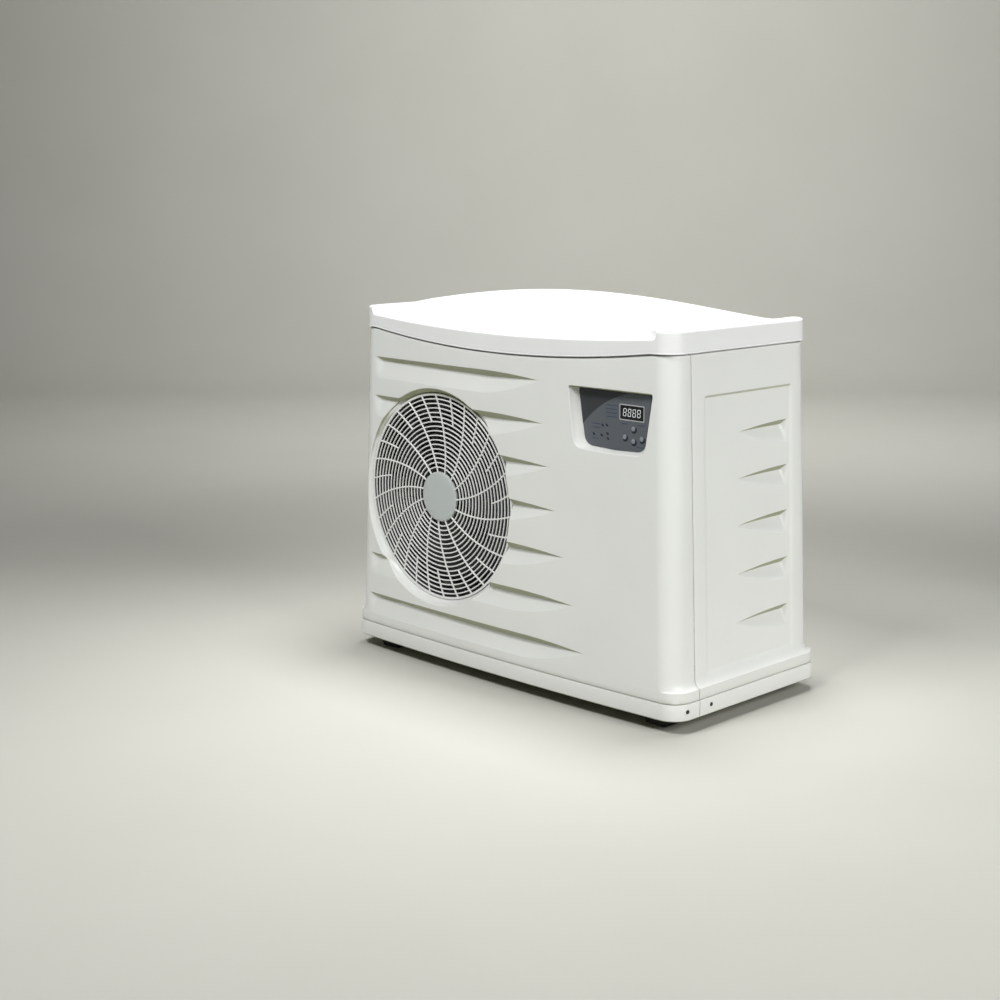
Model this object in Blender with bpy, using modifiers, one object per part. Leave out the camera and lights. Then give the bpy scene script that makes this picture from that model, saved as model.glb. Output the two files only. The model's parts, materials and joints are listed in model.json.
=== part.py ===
"""Pool heat pump unit made of its separate pieces. Metres, +Z up, front towards -Y.

Positions are measured from the front left corner of the base: x to the right, y to the back, z up
from the casing's lower edge. The empty "unit" carries that corner to its place, so that the origin
is the middle of the footprint on the ground.
"""
import math

import bmesh
import bpy
from mathutils import Euler, Vector

# Outside of the casing
WIDTH = 1.034
DEPTH = 0.490
FRONT_BULGE = 0.016
FOOT_HEIGHT = 0.028
CASING_TOP = 0.758
WALL = 0.003
GAP = 0.0003
CORNER_RADIUS = 0.045
BAND_TOP = 0.036
BAND_STEP = 0.0015
FLANGE_TOP = 0.060
FILLET_TOP = 0.080
SIDE_FLARE = 0.015
SIDE_DRAFT = 0.020
FRONT_FLARE = 0.0022
FRONT_DRAFT = 0.0138
REAR_FLARE = 0.010
REAR_DRAFT = 0.006
SEAM_Y = 0.0735
REAR_SEAM_X = 0.094
SEAM_GAP = 0.0012
ARC_STEPS = 4
# The side panel's recessed field
FIELD_FRONT = 0.112
FIELD_BACK = 0.410
FIELD_LOW = 0.082
FIELD_HIGH = 0.664
FIELD_SLOPE = 0.006
FIELD_DEPTH = 0.004
# Heights of the casing's lowest grid rows, up the band, the flange and the hollow fillet
FOOT_ROWS = [0.0, BAND_TOP, BAND_TOP + 0.0012, FLANGE_TOP, 0.0608, 0.0632, 0.0700, FILLET_TOP]

# Dished louvres of the front
LOUVRES = 7
FIRST_CREASE = 0.1105
LOUVRE_PITCH = 0.0955
CREASE_BOW = 0.0085
LOUVRE_START = 0.062
LOUVRE_START_SHIFT = 0.022
LOUVRE_TIP = 0.638
LOUVRE_TIP_REACH = 0.141
LOUVRE_STEP = 0.015
LOUVRE_HEIGHT = 0.048
LOUVRE_DEPTH = 0.012
LOUVRE_END = 0.016
LOUVRE_TAPER = 0.170
CREASE_DROP = 0.010

# Lid
LID_SIDE_INSET = 0.0305
LID_FRONT_INSET = 0.0118
LID_RADIUS = 0.046
LID_SKIRT_BOTTOM = 0.753
LID_SKIRT_TOP = 0.801
LID_ARC_HALF = 0.430
LID_ARC_DIP = 0.028
LID_EDGE_DIP = 0.017
LID_STEP_RUN = 0.028
LID_CROWN = 0.046

# Fan
FAN_X = 0.301
FAN_Z = 0.3735
MOUTH_RADIUS = 0.250
MOUTH_SIDES = 48
MOUTH_BACK_Y = 0.0215
GRILLE_RADIUS = 0.2395
GRILLE_Y = 0.0125
GRILLE_THICKNESS = 0.005
HUB_CAP_RADIUS = 0.058
GRILLE_RIBS = 15
GRILLE_RINGS = 3
BAR = 0.004
RIB_SWEEP = math.radians(21)
ORIFICE_Y = 0.030
ORIFICE_RADIUS = 0.236
ORIFICE_MOUTH_RADIUS = 0.252
ORIFICE_BACK_Y = 0.084
FAN_RADIUS = 0.226
FAN_BLADES = 4
FAN_HUB_RADIUS = 0.052
MOTOR_RADIUS = 0.058

# Control panel recess: half widths at heights, from the top down
PANEL_X = 0.839
PANEL_HALF_WIDTHS = {0.670: 0.114, 0.585: 0.101, 0.562: 0.093, 0.549: 0.082, 0.5435: 0.064}
PANEL_MIDDLE_Z = 0.610
PANEL_FACE_Y = 0.0215
POCKET_BACK_Y = 0.0235
POCKET_SIDE_DRAFT = 0.0115
POCKET_LEVEL_DRAFT = 0.004
# The display's lower left and upper right corners, and the buttons, as (x, z)
DISPLAY = ((0.855, 0.611), (0.919, 0.640))
BUTTONS = {
    "button_up": (0.891, 0.593),
    "button_left": (0.867, 0.574),
    "button_down": (0.891, 0.567),
    "button_right": (0.914, 0.574),
}
BUTTON_RADIUS = 0.0050
BUTTON_STANDS = 0.0012

# Rear and underside: the air intake as (left, right, low, high), the gland as (x, z), the drain as (x, y)
REAR_OPENING = (0.142, 0.590, 0.110, 0.690)
GLAND = (0.720, 0.110)
DRAIN = (0.330, 0.330)

# Inside
FLOOR_TOP = 0.0045
COIL_FRONT = 0.428
COIL_BACK = 0.460
COIL_BENDS = 5
BULKHEAD_X = 0.640
COMPRESSOR = (0.775, 0.235)
EXCHANGER = (0.903, 0.372)
EXCHANGER_RADIUS = 0.063
COMPRESSOR_SEAT = FLOOR_TOP + 0.0125
COMPRESSOR_HEIGHT = 0.280
WATER_HEIGHTS = {"inlet": 0.150, "outlet": 0.420}
WATER_BORE = 0.021
NUT_RIBS = 6
UNION_END = 0.545

REST_Y = (UNION_END - FRONT_BULGE) / 2

FINISHES = {
    "casing_abs": ((0.80, 0.81, 0.79), 0.38, 0.0),
    "lid_abs": ((0.84, 0.85, 0.84), 0.34, 0.0),
    "grille_abs": ((0.82, 0.83, 0.81), 0.40, 0.0),
    "foot_rubber": ((0.02, 0.02, 0.02), 0.85, 0.0),
    "fan_plastic": ((0.03, 0.03, 0.035), 0.45, 0.0),
    "galvanised_steel": ((0.62, 0.64, 0.65), 0.42, 0.9),
    "motor_paint": ((0.06, 0.06, 0.065), 0.45, 0.3),
    "compressor_paint": ((0.02, 0.02, 0.022), 0.35, 0.2),
    "coil_aluminium": ((0.55, 0.58, 0.60), 0.45, 0.9),
    "copper": ((0.72, 0.36, 0.20), 0.32, 1.0),
    "brass": ((0.72, 0.55, 0.25), 0.35, 1.0),
    "grey_pvc": ((0.23, 0.25, 0.27), 0.42, 0.0),
    "panel_grey": ((0.16, 0.17, 0.19), 0.45, 0.0),
    "display_black": ((0.01, 0.01, 0.012), 0.12, 0.0),
    "button_grey": ((0.45, 0.46, 0.48), 0.45, 0.0),
    "board_green": ((0.03, 0.16, 0.07), 0.5, 0.0),
    "black_plastic": ((0.03, 0.03, 0.03), 0.5, 0.0),
    "screw_steel": ((0.10, 0.10, 0.11), 0.4, 0.8),
}


def clear_scene():
    """Empties the scene of objects."""
    for old in list(bpy.data.objects):
        bpy.data.objects.remove(old, do_unlink=True)


def collection(name):
    """A collection of that name, linked to the scene."""
    made = bpy.data.collections.new(name)
    bpy.context.scene.collection.children.link(made)
    return made


def finish_material(name):
    """The Principled material of a finish."""
    made = bpy.data.materials.get(name)
    if made:
        return made
    colour, roughness, metallic = FINISHES[name]
    made = bpy.data.materials.new(name)
    made.use_nodes = True
    shader = made.node_tree.nodes["Principled BSDF"]
    shader.inputs["Base Color"].default_value = (*colour, 1.0)
    shader.inputs["Roughness"].default_value = roughness
    shader.inputs["Metallic"].default_value = metallic
    made.diffuse_color = (*colour, 1.0)
    return made


clear_scene()
PARTS = collection("pool_heat_pump")
CUTTERS = collection("cutters")
UNIT = bpy.data.objects.new("unit", None)
UNIT.location = (-WIDTH / 2, -REST_Y, FOOT_HEIGHT)
PARTS.objects.link(UNIT)


def place(name, data, finish, origin=(0, 0, 0), axis="Z"):
    """Adds a piece at an origin in the unit's frame, with its own Z axis along the given axis.

    A piece with no finish is a cutter or a guide."""
    piece = bpy.data.objects.new(name, data)
    piece.parent = UNIT
    piece.location = origin
    turns = {"Z": (0, 0, 0), "Y": (-math.pi / 2, 0, 0), "X": (0, math.pi / 2, 0)}
    piece.rotation_euler = turns[axis]
    if finish is None:
        CUTTERS.objects.link(piece)
        piece.hide_render = True
        piece.display_type = "WIRE"
        return piece
    PARTS.objects.link(piece)
    data.materials.append(finish_material(finish))
    return piece


def mesh_from(name, bm, smooth_angle=None):
    """Turns a bmesh into a mesh, with outward normals."""
    bmesh.ops.recalc_face_normals(bm, faces=bm.faces)
    mesh = bpy.data.meshes.new(name)
    bm.to_mesh(mesh)
    bm.free()
    if smooth_angle:
        mesh.shade_smooth()
        mesh.set_sharp_from_angle(angle=smooth_angle)
    return mesh


def box(name, low, high, finish, bevel=0.0):
    """A block between two corners, with its edges chamfered."""
    low, high = Vector(low), Vector(high)
    bm = bmesh.new()
    bmesh.ops.create_cube(bm, size=1.0)
    bmesh.ops.scale(bm, vec=high - low, verts=bm.verts)
    piece = place(name, mesh_from(name, bm), finish, (low + high) / 2)
    if bevel:
        rounding = piece.modifiers.new("edges", "BEVEL")
        rounding.width = bevel
        rounding.segments = 1
    return piece


def cylinder(name, radius, low, length, finish, axis="Z", sides=24):
    """A solid cylinder that starts at low and runs along an axis."""
    bm = bmesh.new()
    bmesh.ops.create_cone(
        bm, cap_ends=True, segments=sides, radius1=radius, radius2=radius, depth=length
    )
    bmesh.ops.translate(bm, vec=(0, 0, length / 2), verts=bm.verts)
    return place(name, mesh_from(name, bm, math.radians(40)), finish, low, axis)


def turned(name, profile, finish, origin, axis="Z", steps=24, ring=False):
    """A turned piece. The profile is (radius, height) points down its outer side.

    A ring's profile goes on up the inside and closes on itself."""
    points = [(radius, 0, height) for radius, height in profile]
    edges = [(i, i + 1) for i in range(len(points) - 1)]
    if ring:
        edges.append((len(points) - 1, 0))
    mesh = bpy.data.meshes.new(name)
    mesh.from_pydata(points, edges, [])
    piece = place(name, mesh, finish, origin, axis)
    screw = piece.modifiers.new("turn", "SCREW")
    screw.steps = steps
    screw.render_steps = steps
    screw.use_merge_vertices = True
    screw.merge_threshold = 0.00005
    screw.use_smooth_shade = True
    return piece


def rounded_path(corners, radius, steps=3):
    """The corner points of a pipe run with an arc at each bend."""
    points = [Vector(corners[0])]
    for before, corner, after in zip(corners, corners[1:], corners[2:]):
        corner = Vector(corner)
        back = (Vector(before) - corner).normalized()
        on = (Vector(after) - corner).normalized()
        half = back.angle(on) / 2
        run = radius / math.tan(half)
        centre = corner + (back + on).normalized() * (radius / math.sin(half))
        start = (corner + back * run - centre).normalized()
        end = (corner + on * run - centre).normalized()
        for step in range(steps + 1):
            points.append(centre + start.slerp(end, step / steps) * radius)
    points.append(Vector(corners[-1]))
    return points


def pipe(name, corners, radius, finish, bend=0.022):
    """A round bar or pipe along a run with rounded bends."""
    points = rounded_path(corners, bend)
    curve = bpy.data.curves.new(name, "CURVE")
    curve.dimensions = "3D"
    curve.bevel_depth = radius
    curve.bevel_resolution = 1
    curve.use_fill_caps = True
    spline = curve.splines.new("POLY")
    spline.points.add(len(points) - 1)
    for point, target in zip(spline.points, points):
        point.co = (*target, 1.0)
    return place(name, curve, finish)


def rectangle(low, high):
    """The corners of an upright rectangle from its lower left and upper right ones."""
    return [low, (high[0], low[1]), high, (low[0], high[1])]


def circle(centre, radius, sides):
    """Points round a circle."""
    return [
        (
            centre[0] + radius * math.cos(math.tau * i / sides),
            centre[1] + radius * math.sin(math.tau * i / sides),
        )
        for i in range(sides)
    ]


def plate(name, outlines, y, thickness, finish, facing="Y"):
    """A flat plate: its outline and its holes, given as (x, z), from y back by its thickness.

    Facing X, the outlines are (y, z) and the plate stands at x."""
    curve = bpy.data.curves.new(name, "CURVE")
    curve.dimensions = "2D"
    curve.fill_mode = "BOTH"
    curve.extrude = thickness / 2
    for outline in outlines:
        spline = curve.splines.new("POLY")
        spline.points.add(len(outline) - 1)
        spline.use_cyclic_u = True
        for point, target in zip(spline.points, outline):
            point.co = (*target, 0.0, 1.0)
    middle = y + thickness / 2
    piece = place(name, curve, finish, (0, middle, 0))
    piece.rotation_euler = (math.pi / 2, 0, 0)
    if facing == "X":
        piece.location = (middle, 0, 0)
        piece.rotation_euler = (math.pi / 2, 0, math.pi / 2)
    return piece


def shell(name, columns, rows, point, finish, thickness=WALL, keep=None):
    """A skin on a grid of columns and rows, thickened inwards.

    point(column, row) places each grid point, and keep says which cells the skin has."""
    bm = bmesh.new()
    bmesh.ops.create_grid(bm, x_segments=columns - 1, y_segments=rows - 1, size=1.0)
    cells = {}
    for face in bm.faces:
        middle = face.calc_center_median()
        column = int((middle.x + 1) / 2 * (columns - 1))
        row = int((middle.y + 1) / 2 * (rows - 1))
        cells[face] = (column, row)
    for vertex in bm.verts:
        column = round((vertex.co.x + 1) / 2 * (columns - 1))
        row = round((vertex.co.y + 1) / 2 * (rows - 1))
        vertex.co = point(column, row)
    if keep:
        gone = [face for face, cell in cells.items() if not keep(*cell)]
        bmesh.ops.delete(bm, geom=gone, context="FACES")
    mesh = bpy.data.meshes.new(name)
    bm.to_mesh(mesh)
    bm.free()
    mesh.shade_smooth()
    mesh.set_sharp_from_angle(angle=math.radians(35))
    return thicken(place(name, mesh, finish), thickness)


def thicken(piece, thickness):
    """Gives an open skin its wall, on the inner side."""
    wall = piece.modifiers.new("wall", "SOLIDIFY")
    wall.thickness = thickness
    wall.offset = -1
    return piece


def loft(name, loops, finish, thickness=None, cap_start=False, cap_end=True, ring=False):
    """Joins loops of equal length into a skin, or into a solid when both ends are capped.

    As a ring, the last loop is joined to the first."""
    bm = bmesh.new()
    rings = [[bm.verts.new(point) for point in loop] for loop in loops]
    count = len(loops[0])
    if ring:
        rings.append(rings[0])
    for lower, upper in zip(rings, rings[1:]):
        for i in range(count):
            j = (i + 1) % count
            bm.faces.new((lower[i], lower[j], upper[j], upper[i]))
    if cap_start:
        bm.faces.new(reversed(rings[0]))
    if cap_end:
        bm.faces.new(rings[-1])
    mesh = bpy.data.meshes.new(name)
    bm.to_mesh(mesh)
    bm.free()
    mesh.shade_smooth()
    mesh.set_sharp_from_angle(angle=math.radians(35))
    piece = place(name, mesh, finish)
    if thickness:
        thicken(piece, thickness)
    return piece


def boolean(piece, other, operation="DIFFERENCE"):
    """Cuts another solid out of a piece, or joins it on."""
    step = piece.modifiers.new(operation.lower(), "BOOLEAN")
    step.object = other
    step.operation = operation
    step.solver = "EXACT"


def smooth_step(value):
    """Eases from 0 to 1."""
    value = min(max(value, 0.0), 1.0)
    return value * value * (3 - 2 * value)


# ---------------------------------------------------------------- outside shape


def bulge(x):
    """How far the front stands forward of a straight line at x."""
    half = WIDTH / 2
    return FRONT_BULGE * (1 - ((x - half) / half) ** 2)


def wall_inset(z, flare, draft):
    """How far the casing's wall stands inside the base's outline at height z."""
    if z <= BAND_TOP:
        return 0.0
    if z <= FLANGE_TOP:
        return BAND_STEP
    if z >= FILLET_TOP:
        return flare + draft * (z - FILLET_TOP) / (CASING_TOP - FILLET_TOP)
    fall = (FILLET_TOP - z) / (FILLET_TOP - FLANGE_TOP)
    return flare - (flare - BAND_STEP) * (1 - math.sqrt(1 - fall * fall))


def side_inset(z):
    return wall_inset(z, SIDE_FLARE, SIDE_DRAFT)


def front_inset(z):
    return wall_inset(z, FRONT_FLARE, FRONT_DRAFT)


def rear_inset(z):
    return wall_inset(z, REAR_FLARE, REAR_DRAFT)


def louvre_ends(level):
    """Where the louvre at this level, 0 for the lowest, starts and ends across the front."""
    share = level / (LOUVRES - 1)
    start = LOUVRE_START + LOUVRE_START_SHIFT * share
    tip = LOUVRE_TIP + LOUVRE_TIP_REACH * (1 - share) ** 1.35
    return start, tip


def crease_height(level):
    """Height of a louvre's crease. The louvres are closest together at the top and bottom."""
    share = level / (LOUVRES - 1)
    return FIRST_CREASE + LOUVRE_PITCH * level + 4 * CREASE_BOW * share * (1 - share)


def louvre(x, level):
    """A louvre's crease height, and its shares of full depth and full height, at x."""
    start, tip = louvre_ends(level)
    past = min(max((x - tip) / LOUVRE_TAPER + 1, 0.0), 1.0)
    depth = smooth_step((x - start) / LOUVRE_END) * (1 - smooth_step(past))
    crease = crease_height(level) - CREASE_DROP * past**2
    return crease, depth, 1 - 0.85 * past**1.6


def front_rows():
    """The front's grid rows: (height, louvre or None, part of its drop, share of its depth)."""
    rows = [(z, None, 0, 0) for z in FOOT_ROWS[:-3]]
    for level in range(LOUVRES):
        rows.append((0, level, LOUVRE_HEIGHT, 0))
        rows.append((0, level, LOUVRE_STEP, 1))
        rows.append((0, level, 0, 0))
    rows.append((0.712, None, 0, 0))
    rows.append((CASING_TOP, None, 0, 0))
    return rows


def front_columns(z):
    """Places across the front at height z that follow the louvres' ends."""
    level = min(max((z - FIRST_CREASE) / LOUVRE_PITCH, 0), LOUVRES - 1)
    start, tip = louvre_ends(level)
    left = side_inset(z) + CORNER_RADIUS
    right = WIDTH - left
    full = start + LOUVRE_END
    taper = tip - LOUVRE_TAPER
    across = [left, max(start, left + 0.001), full, (full * 2 + taper) / 3, (full + taper * 2) / 3]
    across += [taper + LOUVRE_TAPER * share for share in (0, 0.3, 0.55, 0.8, 1)]
    across += [tip + (right - tip) * share for share in (0.35, 0.7, 1)]
    return across


def wrapped_point(kind, value, z, dish=0.0):
    """A point on the front casing's outside. kind is the stretch that value counts along."""
    inset = side_inset(z)
    tangent = inset + CORNER_RADIUS
    edge = front_inset(z)
    centre_y = edge - bulge(tangent) + CORNER_RADIUS
    if kind == "front":
        return (value, edge - bulge(value) + dish, z)
    if kind == "left":
        return (inset, value, z)
    if kind == "right":
        return (WIDTH - inset, value, z)
    angle = math.pi * (1 + value / 2) if kind == "left_arc" else math.pi * (1.5 + value / 2)
    centre_x = tangent if kind == "left_arc" else WIDTH - tangent
    return (
        centre_x + CORNER_RADIUS * math.cos(angle),
        centre_y + CORNER_RADIUS * math.sin(angle),
        z,
    )


def casing_front():
    """The front wall with both front corners, its fan mouth and its control recess."""
    rows = front_rows()
    across = len(front_columns(FIRST_CREASE))
    stretch = [("left", SEAM_Y)]
    stretch += [("left_arc", step / ARC_STEPS) for step in range(ARC_STEPS)]
    stretch += [("front", column) for column in range(across)]
    stretch += [("right_arc", step / ARC_STEPS) for step in range(1, ARC_STEPS + 1)]
    stretch += [("right", SEAM_Y)]

    def point(column, row):
        kind, value = stretch[column]
        height, level, drop, share = rows[row]
        if level is None:
            if kind == "front":
                value = front_columns(height)[value]
            return wrapped_point(kind, value, height)
        height = crease_height(level) - drop
        if kind != "front":
            return wrapped_point(kind, value, height)
        x = front_columns(height)[value]
        crease, depth, tall = louvre(x, level)
        return wrapped_point(kind, x, crease - drop * tall, LOUVRE_DEPTH * depth * share)

    casing = shell("front_casing", len(stretch), len(rows), point, "casing_abs")
    mouth = (FAN_X, -0.05, FAN_Z)
    boolean(casing, cylinder("mouth_cutter", MOUTH_RADIUS, mouth, 0.1, None, "Y", MOUTH_SIDES))
    boolean(casing, mouth_ring(), "UNION")
    boolean(casing, pocket_block(), "UNION")
    boolean(casing, pocket_cutter())
    return casing


def front_face(x, z):
    """Depth y of the front's outside at (x, z), its louvres included."""
    dish = 0.0
    for level in range(LOUVRES):
        crease, depth, tall = louvre(x, level)
        drop = (crease - z) / tall
        rise = (LOUVRE_HEIGHT - drop) / (LOUVRE_HEIGHT - LOUVRE_STEP)
        dish = max(dish, LOUVRE_DEPTH * depth * min(drop / LOUVRE_STEP, rise))
    tangent = side_inset(z) + CORNER_RADIUS
    if x > tangent:
        return front_inset(z) - bulge(x) + dish
    fall = CORNER_RADIUS - math.sqrt(CORNER_RADIUS**2 - (tangent - x) ** 2)
    return front_inset(z) - bulge(tangent) + fall


def mouth_loop(radius, depth_at):
    """A loop round the fan's axis, clockwise from the front, at the depths that depth_at gives."""
    points = reversed(circle((FAN_X, FAN_Z), radius, MOUTH_SIDES))
    return [(x, depth_at(x, z), z) for x, z in points]


def mouth_ring():
    """The fan mouth's conical wall, from the middle of the casing's wall back to the grille."""
    narrow = GRILLE_RADIUS / math.cos(math.pi / MOUTH_SIDES) + GAP
    loops = [
        mouth_loop(MOUTH_RADIUS + WALL, lambda x, z: front_face(x, z) + WALL / 2),
        mouth_loop(narrow + WALL, lambda x, z: MOUTH_BACK_Y),
        mouth_loop(narrow, lambda x, z: MOUTH_BACK_Y),
        mouth_loop(narrow, lambda x, z: GRILLE_Y - GAP),
        mouth_loop(MOUTH_RADIUS - 2 * GAP, lambda x, z: front_face(x, z) + WALL / 4),
    ]
    return loft("mouth_ring", loops, None, cap_end=False, ring=True)


def panel_outline(y, grow=0.0):
    """The control recess's outline at depth y as (x, z), clockwise seen from the front."""
    share = y / POCKET_BACK_Y
    half = []
    for z, half_width in PANEL_HALF_WIDTHS.items():
        level = (POCKET_LEVEL_DRAFT * share - grow) * (-1 if z > PANEL_MIDDLE_Z else 1)
        half.append((half_width - POCKET_SIDE_DRAFT * share + grow, z + level))
    right = [(PANEL_X + across, z) for across, z in half]
    return right + [(PANEL_X - across, z) for across, z in reversed(half)]


def pocket_block():
    """The solid that gives the control recess its walls, from the middle of the casing's wall."""
    front = []
    for x, z in panel_outline(POCKET_BACK_Y / 3, WALL):
        front.append((x, front_inset(z) - bulge(x) + WALL / 2, z))
    back = [(x, POCKET_BACK_Y, z) for x, z in panel_outline(POCKET_BACK_Y, WALL)]
    return loft("pocket_block", [front, back], None, cap_start=True)


def pocket_cutter():
    """The hollow of the control recess, which narrows towards the back."""
    depths = (-0.030, 0.0, POCKET_BACK_Y, 0.060)
    loops = [[(x, y, z) for x, z in panel_outline(y)] for y in depths]
    return loft("pocket_cutter", loops, None, cap_start=True)


def side_field(y, z):
    """How far the side panel's field lies inside its rim at (y, z)."""
    across = min(y - FIELD_FRONT, FIELD_BACK - y) / FIELD_SLOPE
    up = min(z - FIELD_LOW, FIELD_HIGH - z) / FIELD_SLOPE
    return FIELD_DEPTH * min(max(min(across, up), 0.0), 1.0)


def casing_side(name, right):
    """A side panel with its rear corner."""
    heights = FOOT_ROWS + [FIELD_LOW, FIELD_LOW + FIELD_SLOPE]
    heights += [FIELD_HIGH - FIELD_SLOPE, FIELD_HIGH, CASING_TOP]
    depths = [SEAM_Y + SEAM_GAP, FIELD_FRONT, FIELD_FRONT + FIELD_SLOPE]
    depths += [FIELD_BACK - FIELD_SLOPE, FIELD_BACK]

    def point(column, row):
        z = heights[row]
        inset, edge = side_inset(z), rear_inset(z)
        corner_y = DEPTH - edge - CORNER_RADIUS
        if column < len(depths):
            y = depths[column]
            x = WIDTH - inset - side_field(y, z)
        elif column <= len(depths) + ARC_STEPS:
            angle = math.pi / 2 * (column - len(depths)) / ARC_STEPS
            x = WIDTH - inset - CORNER_RADIUS * (1 - math.cos(angle))
            y = corner_y + CORNER_RADIUS * math.sin(angle)
        else:
            x = WIDTH - REAR_SEAM_X
            y = DEPTH - edge
        return (x if right else WIDTH - x, y, z)

    columns = len(depths) + ARC_STEPS + 2

    def ordered(column, row):
        return point(column if right else columns - 1 - column, row)

    return shell(name, columns, len(heights), ordered, "casing_abs")


def casing_rear():
    """The rear panel, open where the coil takes in its air, and holed for the water pipes."""
    left, right, low, high = REAR_OPENING
    heights = FOOT_ROWS + [low, high, CASING_TOP]

    reach = REAR_SEAM_X + SEAM_GAP
    edges = [WIDTH - reach, right, left, reach]

    def point(column, row):
        z = heights[row]
        return (edges[column], DEPTH - rear_inset(z), z)

    def keep(column, row):
        return not (column == 1 and row == len(FOOT_ROWS))

    panel = shell("rear_panel", 4, len(heights), point, "casing_abs", keep=keep)
    for name, z in WATER_HEIGHTS.items():
        hole = (EXCHANGER[0], 0.440, z)
        boolean(panel, cylinder(f"{name}_hole_cutter", 0.0275, hole, 0.08, None, "Y"))
    hole = (GLAND[0], 0.440, GLAND[1])
    boolean(panel, cylinder("gland_hole_cutter", 0.0104, hole, 0.08, None, "Y"))
    return panel


def lid_edge(x, y, low):
    """Height of the lid skirt's lower edge, or of its upper one, at a place on its outline."""
    away = abs(x - WIDTH / 2)
    on_long_side = min(abs(y), abs(y - DEPTH)) < 0.030
    if not on_long_side or away > LID_ARC_HALF + LID_STEP_RUN + 0.006:
        return LID_SKIRT_BOTTOM if low else LID_SKIRT_TOP
    share = min(away / LID_ARC_HALF, 1.0) ** 2
    if low:
        return LID_SKIRT_BOTTOM - LID_ARC_DIP * (1 - share)
    hollow = LID_SKIRT_TOP - 0.017 - LID_EDGE_DIP * (1 - share)
    step = min(max((away - LID_ARC_HALF - 0.004) / LID_STEP_RUN, 0.0), 1.0)
    return hollow + (LID_SKIRT_TOP - hollow) * step


def lid_top(x, y):
    """Height of the lid's crowned top."""
    half_width = WIDTH / 2 - LID_SIDE_INSET
    half_depth = DEPTH / 2 - LID_FRONT_INSET + FRONT_BULGE / 2
    across = min(abs(x - WIDTH / 2) / half_width, 1.0)
    back = min(abs(y - DEPTH / 2 + FRONT_BULGE / 2) / half_depth, 1.0)
    ridge = LID_SKIRT_TOP + 0.003 + LID_CROWN * (1 - across**2)
    edge = lid_edge(x, 0.0, False)
    return ridge - (ridge - edge) * back**1.8


def lid_outline():
    """The lid's outline seen from above, anticlockwise from the front left corner."""
    side, front, radius = LID_SIDE_INSET, LID_FRONT_INSET, LID_RADIUS
    step_end = WIDTH / 2 - LID_ARC_HALF
    xs = [side + radius, step_end, 0.202, 0.312, 0.422, WIDTH / 2]
    xs += [WIDTH - x for x in reversed(xs[:-1])]
    sides = [0.16, DEPTH / 2, DEPTH - 0.16]
    rear_y = DEPTH - front
    corner = front - bulge(side + radius) + radius

    def arc(centre_x, centre_y, start):
        angles = [start + math.pi / 2 * i / ARC_STEPS for i in range(1, ARC_STEPS)]
        return [
            (centre_x + radius * math.cos(a), centre_y + radius * math.sin(a)) for a in angles
        ]

    right_x = WIDTH - side
    line = [(x, front - bulge(x)) for x in xs]
    line += arc(right_x - radius, corner, -math.pi / 2)
    line += [(right_x, corner)] + [(right_x, y) for y in sides]
    line += [(right_x, rear_y - radius)] + arc(right_x - radius, rear_y - radius, 0)
    line += [(x, rear_y) for x in reversed(xs)]
    line += arc(side + radius, rear_y - radius, math.pi / 2)
    line += [(side, rear_y - radius)] + [(side, y) for y in reversed(sides)]
    line += [(side, corner)] + arc(side + radius, corner, math.pi)
    return line


def lid():
    """The lid: a skirt whose front edge dips in an arc, under a crowned top."""
    outline = lid_outline()
    centre_x, centre_y = WIDTH / 2, DEPTH / 2
    loops = [
        [(x, y, lid_edge(x, y, True)) for x, y in outline],
        [(x, y, lid_edge(x, y, False)) for x, y in outline],
    ]
    for share in (0.93, 0.78, 0.55, 0.30, 0.08):
        ring = []
        for x, y in outline:
            near_x = centre_x + (x - centre_x) * share
            near_y = centre_y + (y - centre_y) * share
            ring.append((near_x, near_y, lid_top(near_x, near_y)))
        loops.append(ring)
    return loft("lid", loops, "lid_abs", thickness=WALL)


def base_outline(inset):
    """The base's outline seen from above, anticlockwise from the front left corner."""
    radius = CORNER_RADIUS - inset
    tangent = inset + radius
    xs = [tangent, 0.200, 0.360, WIDTH / 2, WIDTH - 0.360, WIDTH - 0.200, WIDTH - tangent]
    corner = inset - bulge(tangent) + radius
    back = DEPTH - inset
    line = [(x, inset - bulge(x)) for x in xs]
    corners = [
        (WIDTH - tangent, corner, -math.pi / 2),
        (WIDTH - tangent, back - radius, 0),
        (tangent, back - radius, math.pi / 2),
        (tangent, corner, math.pi),
    ]
    for centre_x, centre_y, start in corners:
        for i in range(1 if start < 0 else 0, ARC_STEPS + (0 if start > 3 else 1)):
            angle = start + math.pi / 2 * i / ARC_STEPS
            line.append(
                (centre_x + radius * math.cos(angle), centre_y + radius * math.sin(angle))
            )
    return line


def base_tray():
    """The base tray that the inner pieces stand on, inside the casing's lower edge."""
    inset = WALL + 0.0006
    floor = FLOOR_TOP - WALL
    loops = [
        [(x, y, BAND_TOP - 0.004) for x, y in base_outline(inset)],
        [(x, y, floor + 0.003) for x, y in base_outline(inset)],
        [(x, y, floor) for x, y in base_outline(inset + 0.003)],
    ]
    tray = loft("base_tray", [list(reversed(loop)) for loop in loops], "casing_abs", WALL)
    drain = cylinder("drain_cutter", 0.0105, (DRAIN[0], DRAIN[1], -0.02), 0.05, None)
    boolean(tray, drain)
    return tray


def foot(name, x, y):
    """A square rubber foot that narrows towards the ground."""
    bm = bmesh.new()
    bmesh.ops.create_cube(bm, size=1.0)
    height = FOOT_HEIGHT + FLOOR_TOP - WALL - GAP
    bmesh.ops.scale(bm, vec=(0.064, 0.064, height), verts=bm.verts)
    for vertex in bm.verts:
        if vertex.co.z < 0:
            vertex.co.x *= 0.88
            vertex.co.y *= 0.88
    piece = place(name, mesh_from(name, bm), "foot_rubber", (x, y, height / 2 - FOOT_HEIGHT))
    rounding = piece.modifiers.new("edges", "BEVEL")
    rounding.width = 0.004
    rounding.segments = 1


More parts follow.
